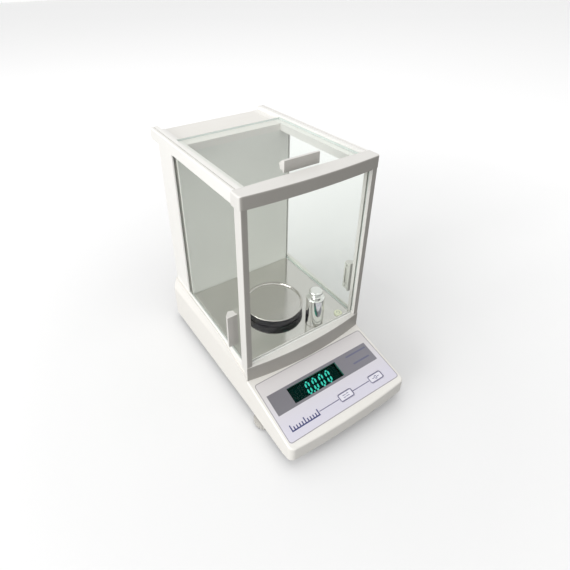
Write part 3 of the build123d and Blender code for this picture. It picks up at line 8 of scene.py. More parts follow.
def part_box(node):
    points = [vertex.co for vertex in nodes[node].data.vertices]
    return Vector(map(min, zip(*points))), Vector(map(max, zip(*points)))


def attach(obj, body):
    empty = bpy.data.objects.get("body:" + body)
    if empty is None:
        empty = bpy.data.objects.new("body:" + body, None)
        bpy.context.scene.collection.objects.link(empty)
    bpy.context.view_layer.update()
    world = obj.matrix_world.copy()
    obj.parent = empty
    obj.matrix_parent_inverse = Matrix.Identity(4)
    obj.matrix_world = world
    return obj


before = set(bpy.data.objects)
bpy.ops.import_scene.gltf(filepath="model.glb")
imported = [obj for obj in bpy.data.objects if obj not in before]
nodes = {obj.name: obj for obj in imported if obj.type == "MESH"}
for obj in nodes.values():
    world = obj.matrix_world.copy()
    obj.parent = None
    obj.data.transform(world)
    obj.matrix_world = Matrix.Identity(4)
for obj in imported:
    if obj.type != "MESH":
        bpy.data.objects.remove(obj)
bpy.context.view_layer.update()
scene = bpy.context.scene
MM = 0.001


def colour(code):
    """A linear colour from an sRGB hex code."""
    shares = [int(code[i:i + 2], 16) / 255 for i in (1, 3, 5)]
    linear = [s / 12.92 if s <= 0.04045 else ((s + 0.055) / 1.055) ** 2.4 for s in shares]
    return (*linear, 1.0)


def add(tree, kind, inputs=None, **settings):
    """Adds a node with its settings. Each input takes a socket, which is linked, or a plain value."""
    node = tree.nodes.new(kind)
    for name, value in settings.items():
        setattr(node, name, value)
    for key, value in (inputs or {}).items():
        if isinstance(value, bpy.types.NodeSocket):
            tree.links.new(value, node.inputs[key])
        else:
            node.inputs[key].default_value = value
    return node


def new_finish(name):
    """An empty material with its output node."""
    finish = bpy.data.materials.new(name)
    finish.use_nodes = True
    finish.node_tree.nodes.clear()
    return finish, finish.node_tree, add(finish.node_tree, "ShaderNodeOutputMaterial")


def textured(name, light, dark, patch_mm, grain_mm, depth_mm, rough=(0.4, 0.5), shader=None, front=None):
    """A finish with slow colour changes patch_mm across and a grain grain_mm across and depth_mm deep.
    The optional pair of colours paints shade on the faces turned to the front, towards the panel."""
    finish, tree, out = new_finish(name)
    place = add(tree, "ShaderNodeTexCoord").outputs["Object"]
    patches = add(tree, "ShaderNodeTexNoise",
                  {"Vector": place, "Scale": 1000 / patch_mm, "Detail": 3.0, "Roughness": 0.55})
    tint = add(tree, "ShaderNodeMix",
               {"Factor": patches.outputs["Fac"], 6: colour(light), 7: colour(dark)}, data_type="RGBA")
    shown = tint.outputs[2]
    # Faces turned to the front take a darker grey: painted shade.
    if front:
        strip = add(tree, "ShaderNodeMix",
                    {"Factor": patches.outputs["Fac"], 6: colour(front[0]), 7: colour(front[1])},
                    data_type="RGBA")
        facing = add(tree, "ShaderNodeSeparateXYZ",
                     {"Vector": add(tree, "ShaderNodeNewGeometry").outputs["Normal"]})
        front_shade_mask = add(tree, "ShaderNodeMapRange",
                    {"Value": facing.outputs["Y"], "From Min": -0.6, "From Max": -0.85})
        shown = add(tree, "ShaderNodeMix", {"Factor": front_shade_mask.outputs["Result"], 6: tint.outputs[2],
                                            7: strip.outputs[2]}, data_type="RGBA").outputs[2]
    grain = add(tree, "ShaderNodeTexNoise",
                {"Vector": place, "Scale": 1000 / grain_mm, "Detail": 2.0, "Roughness": 0.6})
    bump = add(tree, "ShaderNodeBump",
               {"Height": grain.outputs["Fac"], "Strength": 1.0, "Distance": depth_mm * MM})
    gloss = add(tree, "ShaderNodeMapRange",
                {"Value": patches.outputs["Fac"], "From Min": 0.3, "From Max": 0.7,
                 "To Min": rough[0], "To Max": rough[1]})
    base = add(tree, "ShaderNodeBsdfPrincipled",
               {"Base Color": shown, "Roughness": gloss.outputs["Result"],
                "Normal": bump.outputs["Normal"], **(shader or {})})
    tree.links.new(base.outputs["BSDF"], out.inputs["Surface"])
    return finish


# ---------------------------------------------------------------- finishes
# ABS moulded in a spark-eroded tool: an even, slightly warm off-white with a fine satin grain that softens
# every highlight. The grain is 0.6 mm here, coarser than the real 0.1 mm, so that it shows.
moulded_abs = textured("ABS_moulded_fine_grain", "#E9E7E2", "#E2DFD9", 60, 0.6, 0.012, (0.42, 0.52),
                       {"IOR": 1.53, "Specular IOR Level": 0.45})
# The same ABS seen on the small moulded parts, polished a little more where fingers hold it.
# Its faces turned to the front are painted a darker grey: painted shade.
handle_abs = textured("ABS_moulded_satin_gloss", "#DEDCD8", "#D6D3CE", 12, 0.5, 0.006, (0.28, 0.36),
                      {"IOR": 1.53, "Coat Weight": 0.15, "Coat Roughness": 0.2}, front=("#B9B6B2", "#B0ADA8"))
# Aluminium extrusions, powder coated and stoved: a dense warm grey-white with a faint orange peel of
# about 1 mm.
# Faces turned to the front are painted a darker grey: painted shade.
powder_coat = textured("aluminium_powder_coated", "#E0DEDA", "#DAD8D3", 45, 1.0, 0.01, (0.33, 0.42),
                       {"IOR": 1.5, "Specular IOR Level": 0.5}, front=("#A19E9A", "#99968F"))
# The upper rails and column skins carry the lighter coat of the same powder.
powder_coat_white = textured("aluminium_powder_coated_white", "#EFEEEA", "#E8E6E2", 45, 1.0, 0.008,
                             (0.35, 0.45), {"IOR": 1.5})
# Steel sheet sprayed with a stoving enamel: flat, cool grey-white and satin.
enamel = textured("steel_sheet_stove_enamelled", "#E6E7E1", "#DFE0DA", 80, 0.8, 0.004, (0.3, 0.4),
                  {"IOR": 1.5})
# Nitrile rubber moulded in the feet: dead black with a dusty bloom.
foot_rubber = textured("rubber_moulded_matt", "#191919", "#242322", 6, 0.4, 0.02, (0.75, 0.9), {"IOR": 1.52})
# White silicone cord pressed into the glass groove: soft, bright and slightly translucent.
silicone = textured("silicone_extruded_cord", "#EDEDEA", "#E2E2DE", 5, 0.3, 0.004, (0.38, 0.5), {"IOR": 1.41})
# Black polyamide for the pan support, inlet and switch: deep black with a satin moulded skin.
black_polyamide = textured("polyamide_moulded_black", "#080809", "#0D0D0E", 10, 0.4, 0.01, (0.45, 0.58),
                           {"IOR": 1.4, "Specular IOR Level": 0.3})
# Die-cast aluminium straight from the tool: light grey with a soft, slightly pitted skin.
cast_aluminium = textured("aluminium_die_cast", "#C3C5C7", "#B2B4B6", 6, 0.7, 0.03, (0.42, 0.55),
                          {"Metallic": 1.0})
# Zinc-plated mild steel: bluish grey with faint cloudy crystals.
zinc_plate = textured("steel_zinc_plated", "#C6C9CC", "#A9ADB1", 8, 1.2, 0.006, (0.3, 0.44),
                      {"Metallic": 1.0})
# Rolled and blued spring strip of the parallel guides.
spring_strip = textured("steel_spring_strip_rolled", "#A4A5A6", "#8F9091", 3, 0.3, 0.003, (0.22, 0.34),
                        {"Metallic": 1.0})
# Ground soft iron of the magnet pot: dark grey and dull.
ground_iron = textured("iron_soft_ground", "#6E6F71", "#5A5B5D", 4, 0.3, 0.008, (0.35, 0.5),
                       {"Metallic": 1.0})
# Enamelled copper wire of the coil: brown-orange under a glassy lacquer.
lacquered_copper = textured("copper_wire_enamelled", "#B86B3A", "#9A5429", 1.5, 0.35, 0.06, (0.2, 0.3),
                            {"Metallic": 1.0, "Coat Weight": 0.6, "Coat Roughness": 0.12})
# Glass-epoxy laminate under green solder mask.
solder_mask = textured("laminate_solder_masked", "#0E4C2B", "#0A3F24", 5, 0.5, 0.01, (0.28, 0.4),
                       {"IOR": 1.5})
# Epoxy bodies of the board's components.
component_epoxy = textured("epoxy_moulded_components", "#202022", "#2B2B2D", 4, 0.3, 0.01, (0.5, 0.62),
                           {"IOR": 1.55})
# Tin-plated copper of the chips' legs: bright, slightly frosted.
tinned_lead = textured("copper_tin_plated", "#D2D2CF", "#BDBDBA", 1.0, 0.2, 0.004, (0.22, 0.36),
                       {"Metallic": 1.0})
# PVC jacket of the flat cable, ribbed along its wires.
ribbon_pvc = textured("pvc_extruded_ribbon", "#8E9093", "#7F8184", 2, 0.6, 0.05, (0.45, 0.55), {"IOR": 1.52})
# Varnished steel laminations of the transformer with a taped winding.
lamination = textured("steel_laminated_varnished", "#54555A", "#454649", 2, 0.5, 0.08, (0.4, 0.55),
                      {"Metallic": 0.8})
# Moulded grey-white polyamide of the levelling knobs.
knob_polyamide = textured("polyamide_moulded_grey", "#C9C7C2", "#BFBCB6", 8, 0.5, 0.012, (0.4, 0.5),
                          {"IOR": 1.53})


def polished(name, face, patch_mm, line_mm, depth_mm, rough, ring=None):
    """Polished metal with hair-fine buffing lines depth_mm deep, straight along X or round an upright axis
    at ring."""
    finish, tree, out = new_finish(name)
    place = add(tree, "ShaderNodeTexCoord").outputs["Object"]
    if ring is None:
        lines = add(tree, "ShaderNodeMapping", {"Vector": place, "Scale": (0.04, 1.0, 0.04)}).outputs["Vector"]
    else:
        moved = add(tree, "ShaderNodeMapping", {"Vector": place, "Location": (-ring[0], -ring[1], 0)})
        flat = add(tree, "ShaderNodeVectorMath",
                   {0: moved.outputs["Vector"], 1: (1, 1, 0)}, operation="MULTIPLY")
        radius = add(tree, "ShaderNodeVectorMath", {0: flat.outputs["Vector"]}, operation="LENGTH")
        height = add(tree, "ShaderNodeSeparateXYZ", {"Vector": place})
        lines = add(tree, "ShaderNodeCombineXYZ",
                    {"X": radius.outputs["Value"], "Z": height.outputs["Z"]}).outputs["Vector"]
    buffing = add(tree, "ShaderNodeTexNoise", {"Vector": lines, "Scale": 1000 / line_mm, "Detail": 2.0})
    smears = add(tree, "ShaderNodeTexNoise", {"Vector": place, "Scale": 1000 / patch_mm, "Detail": 4.0,
                                              "Roughness": 0.6})
    gloss = add(tree, "ShaderNodeMapRange", {"Value": smears.outputs["Fac"], "From Min": 0.35, "From Max": 0.7,
                                             "To Min": rough[0], "To Max": rough[1]})
    bump = add(tree, "ShaderNodeBump",
               {"Height": buffing.outputs["Fac"], "Strength": 1.0, "Distance": depth_mm * MM})
    base = add(tree, "ShaderNodeBsdfPrincipled",
               {"Base Color": colour(face), "Metallic": 1.0, "Roughness": gloss.outputs["Result"],
                "Normal": bump.outputs["Normal"]})
    tree.links.new(base.outputs["BSDF"], out.inputs["Surface"])
    return finish


def upright_axis(node):
    """Where a turned node's upright axis stands."""
    low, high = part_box(node)
    return (low.x + high.x) / 2, (low.y + high.y) / 2


pan_axis = upright_axis("weighing_pan")
weight_axis = upright_axis("calibration_weight")
# Stainless sheet rolled and polished for the chamber floor: nearly a mirror, with faint wiping smears.
floor_steel = polished("stainless_sheet_mirror_polished", "#D9D7D3", 50, 0.8, 0.0008, (0.06, 0.14))
# Stainless pan spun on a lathe and polished: circular lines that stretch each highlight into a fan.
pan_steel = polished("stainless_spun_polished", "#CFCCC8", 25, 0.5, 0.002, (0.12, 0.2), ring=pan_axis)
# Turned and polished stainless weight: a bright mirror with fine turning lines.
weight_steel = polished("stainless_turned_polished", "#F0F0EE", 8, 0.4, 0.001, (0.04, 0.08),
                        ring=weight_axis)


def clear_skin(tree, tint, rough, ior, ripple):
    """The shader of a see-through sheet, tinted, that mirrors on its outer side only."""
    clear = add(tree, "ShaderNodeBsdfTransparent", {"Color": colour(tint)})
    shine = add(tree, "ShaderNodeBsdfGlossy", {"Color": colour("#FFFFFF"), "Roughness": rough,
                                               "Normal": ripple.outputs["Normal"]})
    fresnel = add(tree, "ShaderNodeFresnel", {"IOR": ior})
    inside = add(tree, "ShaderNodeNewGeometry").outputs["Backfacing"]
    outer = add(tree, "ShaderNodeMath", {0: 1.0, 1: inside}, operation="SUBTRACT")
    strength = add(tree, "ShaderNodeMath", {0: fresnel.outputs["Fac"], 1: outer.outputs["Value"]},
                   operation="MULTIPLY")
    return add(tree, "ShaderNodeMixShader", {"Fac": strength.outputs["Value"], 1: clear.outputs["BSDF"],
                                             2: shine.outputs["BSDF"]})


def float_glass(name, axis, bedding=0.0):
    """Clear float glass. Its faces across axis are see-through, and its ground edges show the glass's green.
    Below the height bedding the pane is painted white: the silicone it stands in, and above the seal's lip
    painted light over the groove's shade."""
    finish, tree, out = new_finish(name)
    place = add(tree, "ShaderNodeTexCoord").outputs["Object"]
    waves = add(tree, "ShaderNodeTexNoise", {"Vector": place, "Scale": 8.0, "Detail": 1.0})
    ripple = add(tree, "ShaderNodeBump",
                 {"Height": waves.outputs["Fac"], "Strength": 0.2, "Distance": 0.0004})
    wipes = add(tree, "ShaderNodeTexNoise", {"Vector": place, "Scale": 30.0, "Detail": 4.0})
    dust = add(tree, "ShaderNodeMapRange", {"Value": wipes.outputs["Fac"], "From Min": 0.4, "From Max": 0.8,
                                            "To Min": 0.002, "To Max": 0.012})
    pane = clear_skin(tree, "#FEFFFE", 0.02, 1.3, ripple)
    film = add(tree, "ShaderNodeBsdfDiffuse", {"Color": colour("#F2F4F3")})
    wiped = add(tree, "ShaderNodeMixShader", {"Fac": dust.outputs["Result"], 1: pane.outputs["Shader"],
                                              2: film.outputs["BSDF"]})
    ground = add(tree, "ShaderNodeBsdfPrincipled",
                 {"Base Color": colour("#CDD6D2"), "Roughness": 0.25, "IOR": 1.52})
    facing = add(tree, "ShaderNodeSeparateXYZ",
                 {"Vector": add(tree, "ShaderNodeNewGeometry").outputs["Normal"]})
    across = add(tree, "ShaderNodeMath", {0: facing.outputs[axis]}, operation="ABSOLUTE")
    is_edge = add(tree, "ShaderNodeMath", {0: across.outputs["Value"], 1: 0.5}, operation="LESS_THAN")
    whole = add(tree, "ShaderNodeMixShader", {"Fac": is_edge.outputs["Value"], 1: wiped.outputs["Shader"],
                                              2: ground.outputs["BSDF"]})
    height = add(tree, "ShaderNodeSeparateXYZ", {"Vector": place})
    bedded = add(tree, "ShaderNodeMath", {0: height.outputs["Z"], 1: bedding}, operation="LESS_THAN")
    seal_white_and_painted_light = add(tree, "ShaderNodeBsdfDiffuse", {"Color": colour("#F2F2EF")})
    footed = add(tree, "ShaderNodeMixShader", {"Fac": bedded.outputs["Value"], 1: whole.outputs["Shader"],
                                               2: seal_white_and_painted_light.outputs["BSDF"]})
    tree.links.new(footed.outputs["Shader"], out.inputs["Surface"])
    return finish


# Float glass 3 mm thick, cut and ground: clear through its faces and green-grey at its edges.
SEAL_LIGHT_REACH = 0.8 * MM  # how far above the seal's lip the pane is painted white, painted light over the groove's shade
seal_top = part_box("front_glass_seal")[1].z
side_glass = float_glass("float_glass_side_doors", "X")
front_pane = float_glass("float_glass_front", "Y", bedding=seal_top + SEAL_LIGHT_REACH)
top_glass = float_glass("float_glass_top_door", "Z")

# ---------------------------------------------------------------- control panel
# The panel's plane starts under the middle of the front rail and slopes down towards the user.
PANEL_RUN = 103.1
PANEL_DROP = 22.4
PANEL_DOWN = Vector((0, -PANEL_RUN, -PANEL_DROP)).normalized()
PANEL_UP = Vector((0, -PANEL_DROP, PANEL_RUN)).normalized()
PANEL_TOP = Vector((0, -78.5, 62)) * MM
PANEL_FRAME = Matrix((
    (1, 0, 0, PANEL_TOP.x),
    (0, -PANEL_DOWN.y, PANEL_UP.y, PANEL_TOP.y),
    (0, -PANEL_DOWN.z, PANEL_UP.z, PANEL_TOP.z),
    (0, 0, 0, 1)))
PANEL_TILT = math.atan2(PANEL_DROP, PANEL_RUN)
# The display's grey band, as its middle and half its size on the panel, in millimetres right and up.
BAND_MIDDLE = (-0.85, -46.55)
BAND_HALF = (88.45, 15.3)


def film_print(name, ground, lower_painted_light_tone, with_band):
    """Polyester film screen-printed on its back: a satin colour that turns to a second tone down the panel, a
    painted change of light, with the grey band of the display.
    """
    finish, tree, out = new_finish(name)
    place = add(tree, "ShaderNodeTexCoord").outputs["Object"]
    moved = add(tree, "ShaderNodeVectorMath", {0: place, 1: tuple(PANEL_TOP)}, operation="SUBTRACT")
    flat = add(tree, "ShaderNodeVectorRotate", {"Vector": moved.outputs["Vector"], "Axis": (1, 0, 0),
                                                "Angle": -PANEL_TILT}, rotation_type="AXIS_ANGLE")
    spot = add(tree, "ShaderNodeSeparateXYZ", {"Vector": flat.outputs["Vector"]})
    # Down the panel the colour turns to the second tone: painted light.
    painted_light_down = add(tree, "ShaderNodeMapRange", {"Value": spot.outputs["Y"], "From Min": -0.03, "From Max": -0.085,
                                            "To Min": 0.0, "To Max": 1.0})
    base_tint = add(tree, "ShaderNodeMix", {"Factor": painted_light_down.outputs["Result"], 6: colour(ground),
                                            7: colour(lower_painted_light_tone)}, data_type="RGBA")
    shown = base_tint.outputs[2]
    if with_band:
        inside_x = add(tree, "ShaderNodeMath", {0: spot.outputs["X"], 1: BAND_MIDDLE[0] * MM,
                                                 2: BAND_HALF[0] * MM}, operation="COMPARE")
        inside_y = add(tree, "ShaderNodeMath", {0: spot.outputs["Y"], 1: BAND_MIDDLE[1] * MM,
                                                 2: BAND_HALF[1] * MM}, operation="COMPARE")
        inside = add(tree, "ShaderNodeMath", {0: inside_x.outputs["Value"], 1: inside_y.outputs["Value"]},
                     operation="MULTIPLY")
        across = add(tree, "ShaderNodeMapRange", {"Value": spot.outputs["X"], "From Min": -90 * MM,
                                                  "From Max": 90 * MM, "To Min": 0.0, "To Max": 1.0})
        ink = add(tree, "ShaderNodeMix", {"Factor": across.outputs["Result"], 6: colour("#727076"),
                                          7: colour("#7E7C84")}, data_type="RGBA")
        banded = add(tree, "ShaderNodeMix", {"Factor": inside.outputs["Value"], 6: shown, 7: ink.outputs[2]},
                     data_type="RGBA")
        shown = banded.outputs[2]
    grain = add(tree, "ShaderNodeTexNoise", {"Vector": place, "Scale": 2000.0, "Detail": 2.0})
    bump = add(tree, "ShaderNodeBump",
               {"Height": grain.outputs["Fac"], "Distance": 0.000004, "Strength": 1.0})
    base = add(tree, "ShaderNodeBsdfPrincipled", {"Base Color": shown, "Roughness": 0.34, "IOR": 1.57,
                                                  "Normal": bump.outputs["Normal"]})
    tree.links.new(base.outputs["BSDF"], out.inputs["Surface"])
    return finish


# Polyester film, screen-printed on the back, 0.4 mm thick with its adhesive: lilac-white and satin.
# Both films turn bluer down the panel, and the keys lighter too: painted light.
overlay_film = film_print("polyester_film_screen_printed", "#D4D0D0", "#D3D0DC", True)
key_film = film_print("polyester_film_embossed_key", "#D9D7DF", "#DFDDE6", False)


def tinted_sheet(name, tint, rough, ior):
    """A see-through sheet that darkens what is behind it."""
    finish, tree, out = new_finish(name)
    place = add(tree, "ShaderNodeTexCoord").outputs["Object"]
    haze = add(tree, "ShaderNodeTexNoise", {"Vector": place, "Scale": 120.0, "Detail": 2.0})
    ripple = add(tree, "ShaderNodeBump", {"Height": haze.outputs["Fac"], "Strength": 0.3, "Distance": 0.0001})
    tree.links.new(clear_skin(tree, tint, rough, ior, ripple).outputs["Shader"], out.inputs["Surface"])
    return finish


# Acrylic filter dyed dark blue-green: the window looks nearly black until the digits shine through.
window_acrylic = tinted_sheet("acrylic_dyed_filter", "#A9D2CC", 0.1, 1.12)
# Glass of the vacuum tube, over a black anode plate, with a faint blue-green painted glow.
tube_glass = textured("glass_tube_over_black_anode", "#020B0A", "#04100F", 10, 1.0, 0.002, (0.2, 0.3),
                      {"IOR": 1.2, "Emission Color": colour("#0B3A36"), "Emission Strength": 0.6})
# Cast acrylic of the level over its pale yellow-green liquid, with a polished dome: the pale tint is its own,
# its lift nearly to white a painted highlight.
vial_acrylic = textured("acrylic_cast_level_dome", "#F1F3DC", "#E6EBC8", 5, 2.0, 0.004, (0.1, 0.16),
                        {"IOR": 1.49, "Coat Weight": 1.0, "Coat Roughness": 0.03})


def glow(name, core, strength):
    """Phosphor that glows evenly, its colour varying in a fine grain."""
    finish, tree, out = new_finish(name)
    place = add(tree, "ShaderNodeTexCoord").outputs["Object"]
    grain = add(tree, "ShaderNodeTexNoise", {"Vector": place, "Scale": 900.0, "Detail": 1.0})
    tint = add(tree, "ShaderNodeMix", {"Factor": grain.outputs["Fac"], 6: colour(core[0]), 7: colour(core[1])},
               data_type="RGBA")
    base = add(tree, "ShaderNodeBsdfPrincipled",
               {"Base Color": colour(core[2]), "Roughness": 0.6, "Emission Color": tint.outputs[2],
                "Emission Strength": strength})
    tree.links.new(base.outputs["BSDF"], out.inputs["Surface"])
    return finish


# Zinc oxide phosphor on the tube's anodes: an even cyan-green glow, and where it is off a faint grey-green
# painted glow.
phosphor_lit = glow("phosphor_zinc_oxide_lit", ("#8FFFF0", "#5FE8DA", "#224A46"), 1.7)
phosphor_off = glow("phosphor_zinc_oxide_unlit", ("#0C3230", "#0A2A28", "#123633"), 0.5)
# Screen-printing inks: dense, matt and sharp-edged.
violet_ink = textured("ink_screen_printed_violet_grey", "#6C6A86", "#63607C", 6, 0.3, 0.002, (0.5, 0.6),
                      {"IOR": 1.5})
blue_ink = textured("ink_screen_printed_blue", "#34386C", "#3E4276", 6, 0.3, 0.002, (0.5, 0.6), {"IOR": 1.5})
band_ink = textured("ink_screen_printed_grey_blue", "#6A6C84", "#62647C", 6, 0.3, 0.002, (0.5, 0.6),
                    {"IOR": 1.5})
# The grey line round the film's edge is painted shadow of the seam between film and housing.
seam_shadow_ink = textured("grey_painted_seam_shadow", "#8B888C", "#838085", 6, 0.3, 0.002, (0.5, 0.6),
                    {"IOR": 1.5})
black_ink = textured("ink_screen_printed_black", "#202022", "#28282A", 6, 0.3, 0.002, (0.5, 0.6),
                     {"IOR": 1.5})

FINISH = {
    moulded_abs: ["base_housing", "rear_column", "rear_cover", "rear_cap"],
    powder_coat: ["front_beam", "front_bottom_rail", "left_post", "right_post"],
    powder_coat_white: ["left_top_rail", "right_top_rail", "left_bottom_track", "right_bottom_track",
                        "left_column_skin", "right_column_skin"],
    enamel: ["rear_wall"],
    handle_abs: ["left_door_handle", "right_door_handle", "top_door_handle"],
    floor_steel: ["floor_plate"],
    pan_steel: ["weighing_pan"],
    weight_steel: ["calibration_weight"],
    side_glass: ["left_door_glass", "right_door_glass"],
    front_pane: ["front_glass"],
    top_glass: ["top_door_glass"],
    overlay_film: ["keypad_overlay"],
    key_film: ["tare_key", "mode_key"],
    window_acrylic: ["display_window"],
    tube_glass: ["display_tube"],
    vial_acrylic: ["level_vial"],
    silicone: ["front_glass_seal"],
    black_polyamide: ["pan_support", "stem_collar", "power_inlet", "power_rocker", "switch_housing",
                      "position_sensor"],
    foot_rubber: ["rear_feet", "left_foot_pad", "right_foot_pad"],
    knob_polyamide: ["left_foot_knob", "right_foot_knob"],
    zinc_plate: ["bottom_plate", "case_screws", "serial_port"],
    cast_aluminium: ["mechanism_base", "load_receiver", "lever_beam"],
    spring_strip: ["parallel_guides", "lever_pin"],
    ground_iron: ["magnet_pot"],
    lacquered_copper: ["coil"],
    solder_mask: ["display_board", "main_board"],
    component_epoxy: ["board_parts", "key_switches"],
    ribbon_pvc: ["ribbon_cable"],
    lamination: ["transformer"],
}
for finish, members in FINISH.items():
    for member in members:
        mesh = nodes[member].data
        mesh.materials.clear()
        mesh.materials.append(finish)


def keep(piece, body):
    """A finished piece: its place goes into its mesh, and it rides on its body."""
    piece.data.transform(piece.matrix_world)
    piece.matrix_world = Matrix.Identity(4)
    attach(piece, body)
    return piece


def from_tree(name, tree, values, place=Matrix.Identity(4)):
    """The mesh that a tree makes, as a plain object put at place."""
    holder = bpy.data.objects.new(name + "_holder", bpy.data.meshes.new(name + "_seed"))
    scene.collection.objects.link(holder)
    modifier = holder.modifiers.new("make", "NODES")
    modifier.node_group = tree
    for item in tree.interface.items_tree:
        if item.item_type == "SOCKET" and item.in_out == "INPUT" and item.name in values:
            modifier[item.identifier] = values[item.name]
    bpy.context.view_layer.update()
    made = bpy.data.meshes.new_from_object(holder.evaluated_get(bpy.context.evaluated_depsgraph_get()))
    holder.modifiers.remove(modifier)
    bpy.data.objects.remove(holder)
    made.name = name
    made.transform(place)
    made.update()
    piece = bpy.data.objects.new(name, made)
    scene.collection.objects.link(piece)
    return piece


def new_tree(name, sockets):
    """A geometry tree with named inputs, and its input and output nodes."""
    tree = bpy.data.node_groups.new(name, "GeometryNodeTree")
    tree.interface.new_socket("Geometry", in_out="OUTPUT", socket_type="NodeSocketGeometry")
    for label, kind in sockets.items():
        tree.interface.new_socket(label, in_out="INPUT", socket_type=kind)
    return tree, add(tree, "NodeGroupInput").outputs, add(tree, "NodeGroupOutput")


# ---------------------------------------------------------------- digits
# One tree lays seven-segment bars: a bar is a long hexagon, six of them ring a nought, and the row repeats it.
digit_tree, size, out = new_tree("seven_segment_digits", {
    "Upright Bar": "NodeSocketFloat", "Cross Bar": "NodeSocketFloat", "Bar Width": "NodeSocketFloat",
    "Thickness": "NodeSocketFloat",
    "Pitch": "NodeSocketFloat", "Digits": "NodeSocketInt", "Point Size": "NodeSocketFloat",
    "Ink": "NodeSocketMaterial"})
hexagon = add(digit_tree, "GeometryNodeMeshCircle", {"Vertices": 6, "Radius": 1.0}, fill_type="NGON")
half_width = add(digit_tree, "ShaderNodeMath", {0: size["Bar Width"], 1: 0.577}, operation="MULTIPLY")
corner = add(digit_tree, "ShaderNodeMath", {0: size["Bar Width"], 1: 0.3}, operation="MULTIPLY")
half_up = add(digit_tree, "ShaderNodeMath", {0: size["Upright Bar"], 1: 0.5}, operation="MULTIPLY")
half_across = add(digit_tree, "ShaderNodeMath", {0: size["Cross Bar"], 1: 0.5}, operation="MULTIPLY")
side = add(digit_tree, "ShaderNodeMath", {0: half_across.outputs[0], 1: corner.outputs[0]}, operation="ADD")
middle = add(digit_tree, "ShaderNodeMath", {0: half_up.outputs[0], 1: corner.outputs[0]}, operation="ADD")
end = add(digit_tree, "ShaderNodeMath", {0: middle.outputs[0], 1: 2.0}, operation="MULTIPLY")
bars = []
for across, up, upright in ((0, 1, False), (0, -1, False), (1, 1, True), (-1, 1, True),
                            (1, -1, True), (-1, -1, True)):
    bar_scale = add(digit_tree, "ShaderNodeCombineXYZ",
                    {"X": (half_up if upright else half_across).outputs[0],
                     "Y": half_width.outputs[0], "Z": 1.0})
    bar = add(digit_tree, "GeometryNodeTransform", {"Geometry": hexagon.outputs["Mesh"],
                                                    "Scale": bar_scale.outputs["Vector"]})
    spread = add(digit_tree, "ShaderNodeMath", {0: side.outputs[0], 1: float(across)}, operation="MULTIPLY")
    rise = add(digit_tree, "ShaderNodeMath", {0: (middle if upright else end).outputs[0], 1: float(up)},
               operation="MULTIPLY")
    spot = add(digit_tree, "ShaderNodeCombineXYZ", {"X": spread.outputs[0], "Y": rise.outputs[0]})
    bars.append(add(digit_tree, "GeometryNodeTransform",
                    {"Geometry": bar.outputs["Geometry"], "Translation": spot.outputs["Vector"],
                     "Rotation": (0, 0, math.pi / 2 if upright else 0)}))
nought = add(digit_tree, "GeometryNodeJoinGeometry")
for one in bars:
    digit_tree.links.new(one.outputs["Geometry"], nought.inputs["Geometry"])
step = add(digit_tree, "ShaderNodeCombineXYZ", {"X": size["Pitch"]})
row = add(digit_tree, "GeometryNodeMeshLine", {"Count": size["Digits"], "Offset": step.outputs["Vector"]})
digits = add(digit_tree, "GeometryNodeInstanceOnPoints", {"Points": row.outputs["Mesh"],
                                                          "Instance": nought.outputs["Geometry"]})
dot = add(digit_tree, "GeometryNodeMeshCircle",
          {"Vertices": 8, "Radius": size["Point Size"]}, fill_type="NGON")
half_pitch = add(digit_tree, "ShaderNodeMath", {0: size["Pitch"], 1: 0.5}, operation="MULTIPLY")
drop = add(digit_tree, "ShaderNodeMath", {0: end.outputs[0], 1: -1.0}, operation="MULTIPLY")
dot_spot = add(digit_tree, "ShaderNodeCombineXYZ", {"X": half_pitch.outputs[0], "Y": drop.outputs[0]})
point = add(digit_tree, "GeometryNodeTransform", {"Geometry": dot.outputs["Mesh"],
                                                  "Translation": dot_spot.outputs["Vector"]})
figure = add(digit_tree, "GeometryNodeJoinGeometry", {"Geometry": digits.outputs["Instances"]})
digit_tree.links.new(point.outputs["Geometry"], figure.inputs["Geometry"])
real = add(digit_tree, "GeometryNodeRealizeInstances", {"Geometry": figure.outputs["Geometry"]})
thick = add(digit_tree, "GeometryNodeExtrudeMesh", {"Mesh": real.outputs["Geometry"],
                                                    "Offset Scale": size["Thickness"], "Individual": False})
closed = add(digit_tree, "GeometryNodeJoinGeometry", {"Geometry": thick.outputs["Mesh"]})
backs = add(digit_tree, "GeometryNodeFlipFaces", {"Mesh": real.outputs["Geometry"]})
digit_tree.links.new(backs.outputs["Mesh"], closed.inputs["Geometry"])
whole = add(digit_tree, "GeometryNodeMergeByDistance",
            {"Geometry": closed.outputs["Geometry"], "Distance": 1e-6})
inked = add(digit_tree, "GeometryNodeSetMaterial", {"Geometry": whole.outputs["Geometry"],
                                                    "Material": size["Ink"]})
digit_tree.links.new(inked.outputs["Geometry"], out.inputs["Geometry"])

LEAN = Matrix.Identity(4)
LEAN[0][1] = math.tan(math.radians(9))
TUBE_FACE = -4.3  # the tube's face, measured up from the panel's plane
DIGIT_T = 47.3  # how far down the panel the digits' middle lies


def digit_place(x_mm):
    """Leaning digits on the tube's face, with the first one's middle at x_mm."""
    return PANEL_FRAME @ Matrix.Translation((x_mm * MM, -DIGIT_T * MM, TUBE_FACE * MM)) @ LEAN


DIGIT_PITCH = 11.9
FIRST_DIGIT = -28.6
DIGIT_SIZES = {"Upright Bar": 6.7 * MM, "Cross Bar": 3.6 * MM, "Bar Width": 2.5 * MM,
               "Pitch": DIGIT_PITCH * MM}
keep(from_tree("display_digits", digit_tree,
               {**DIGIT_SIZES, "Thickness": 0.08 * MM, "Digits": 4, "Point Size": 1.3 * MM,
                "Ink": phosphor_lit},
               digit_place(FIRST_DIGIT)), "base")
# The unlit bars carry a faint painted glow.
keep(from_tree("display_unlit_digits", digit_tree,
               {**DIGIT_SIZES, "Thickness": 0.06 * MM, "Digits": 2, "Point Size": 0.3 * MM,
                "Ink": phosphor_off},
               digit_place(FIRST_DIGIT - 2 * DIGIT_PITCH)), "base")
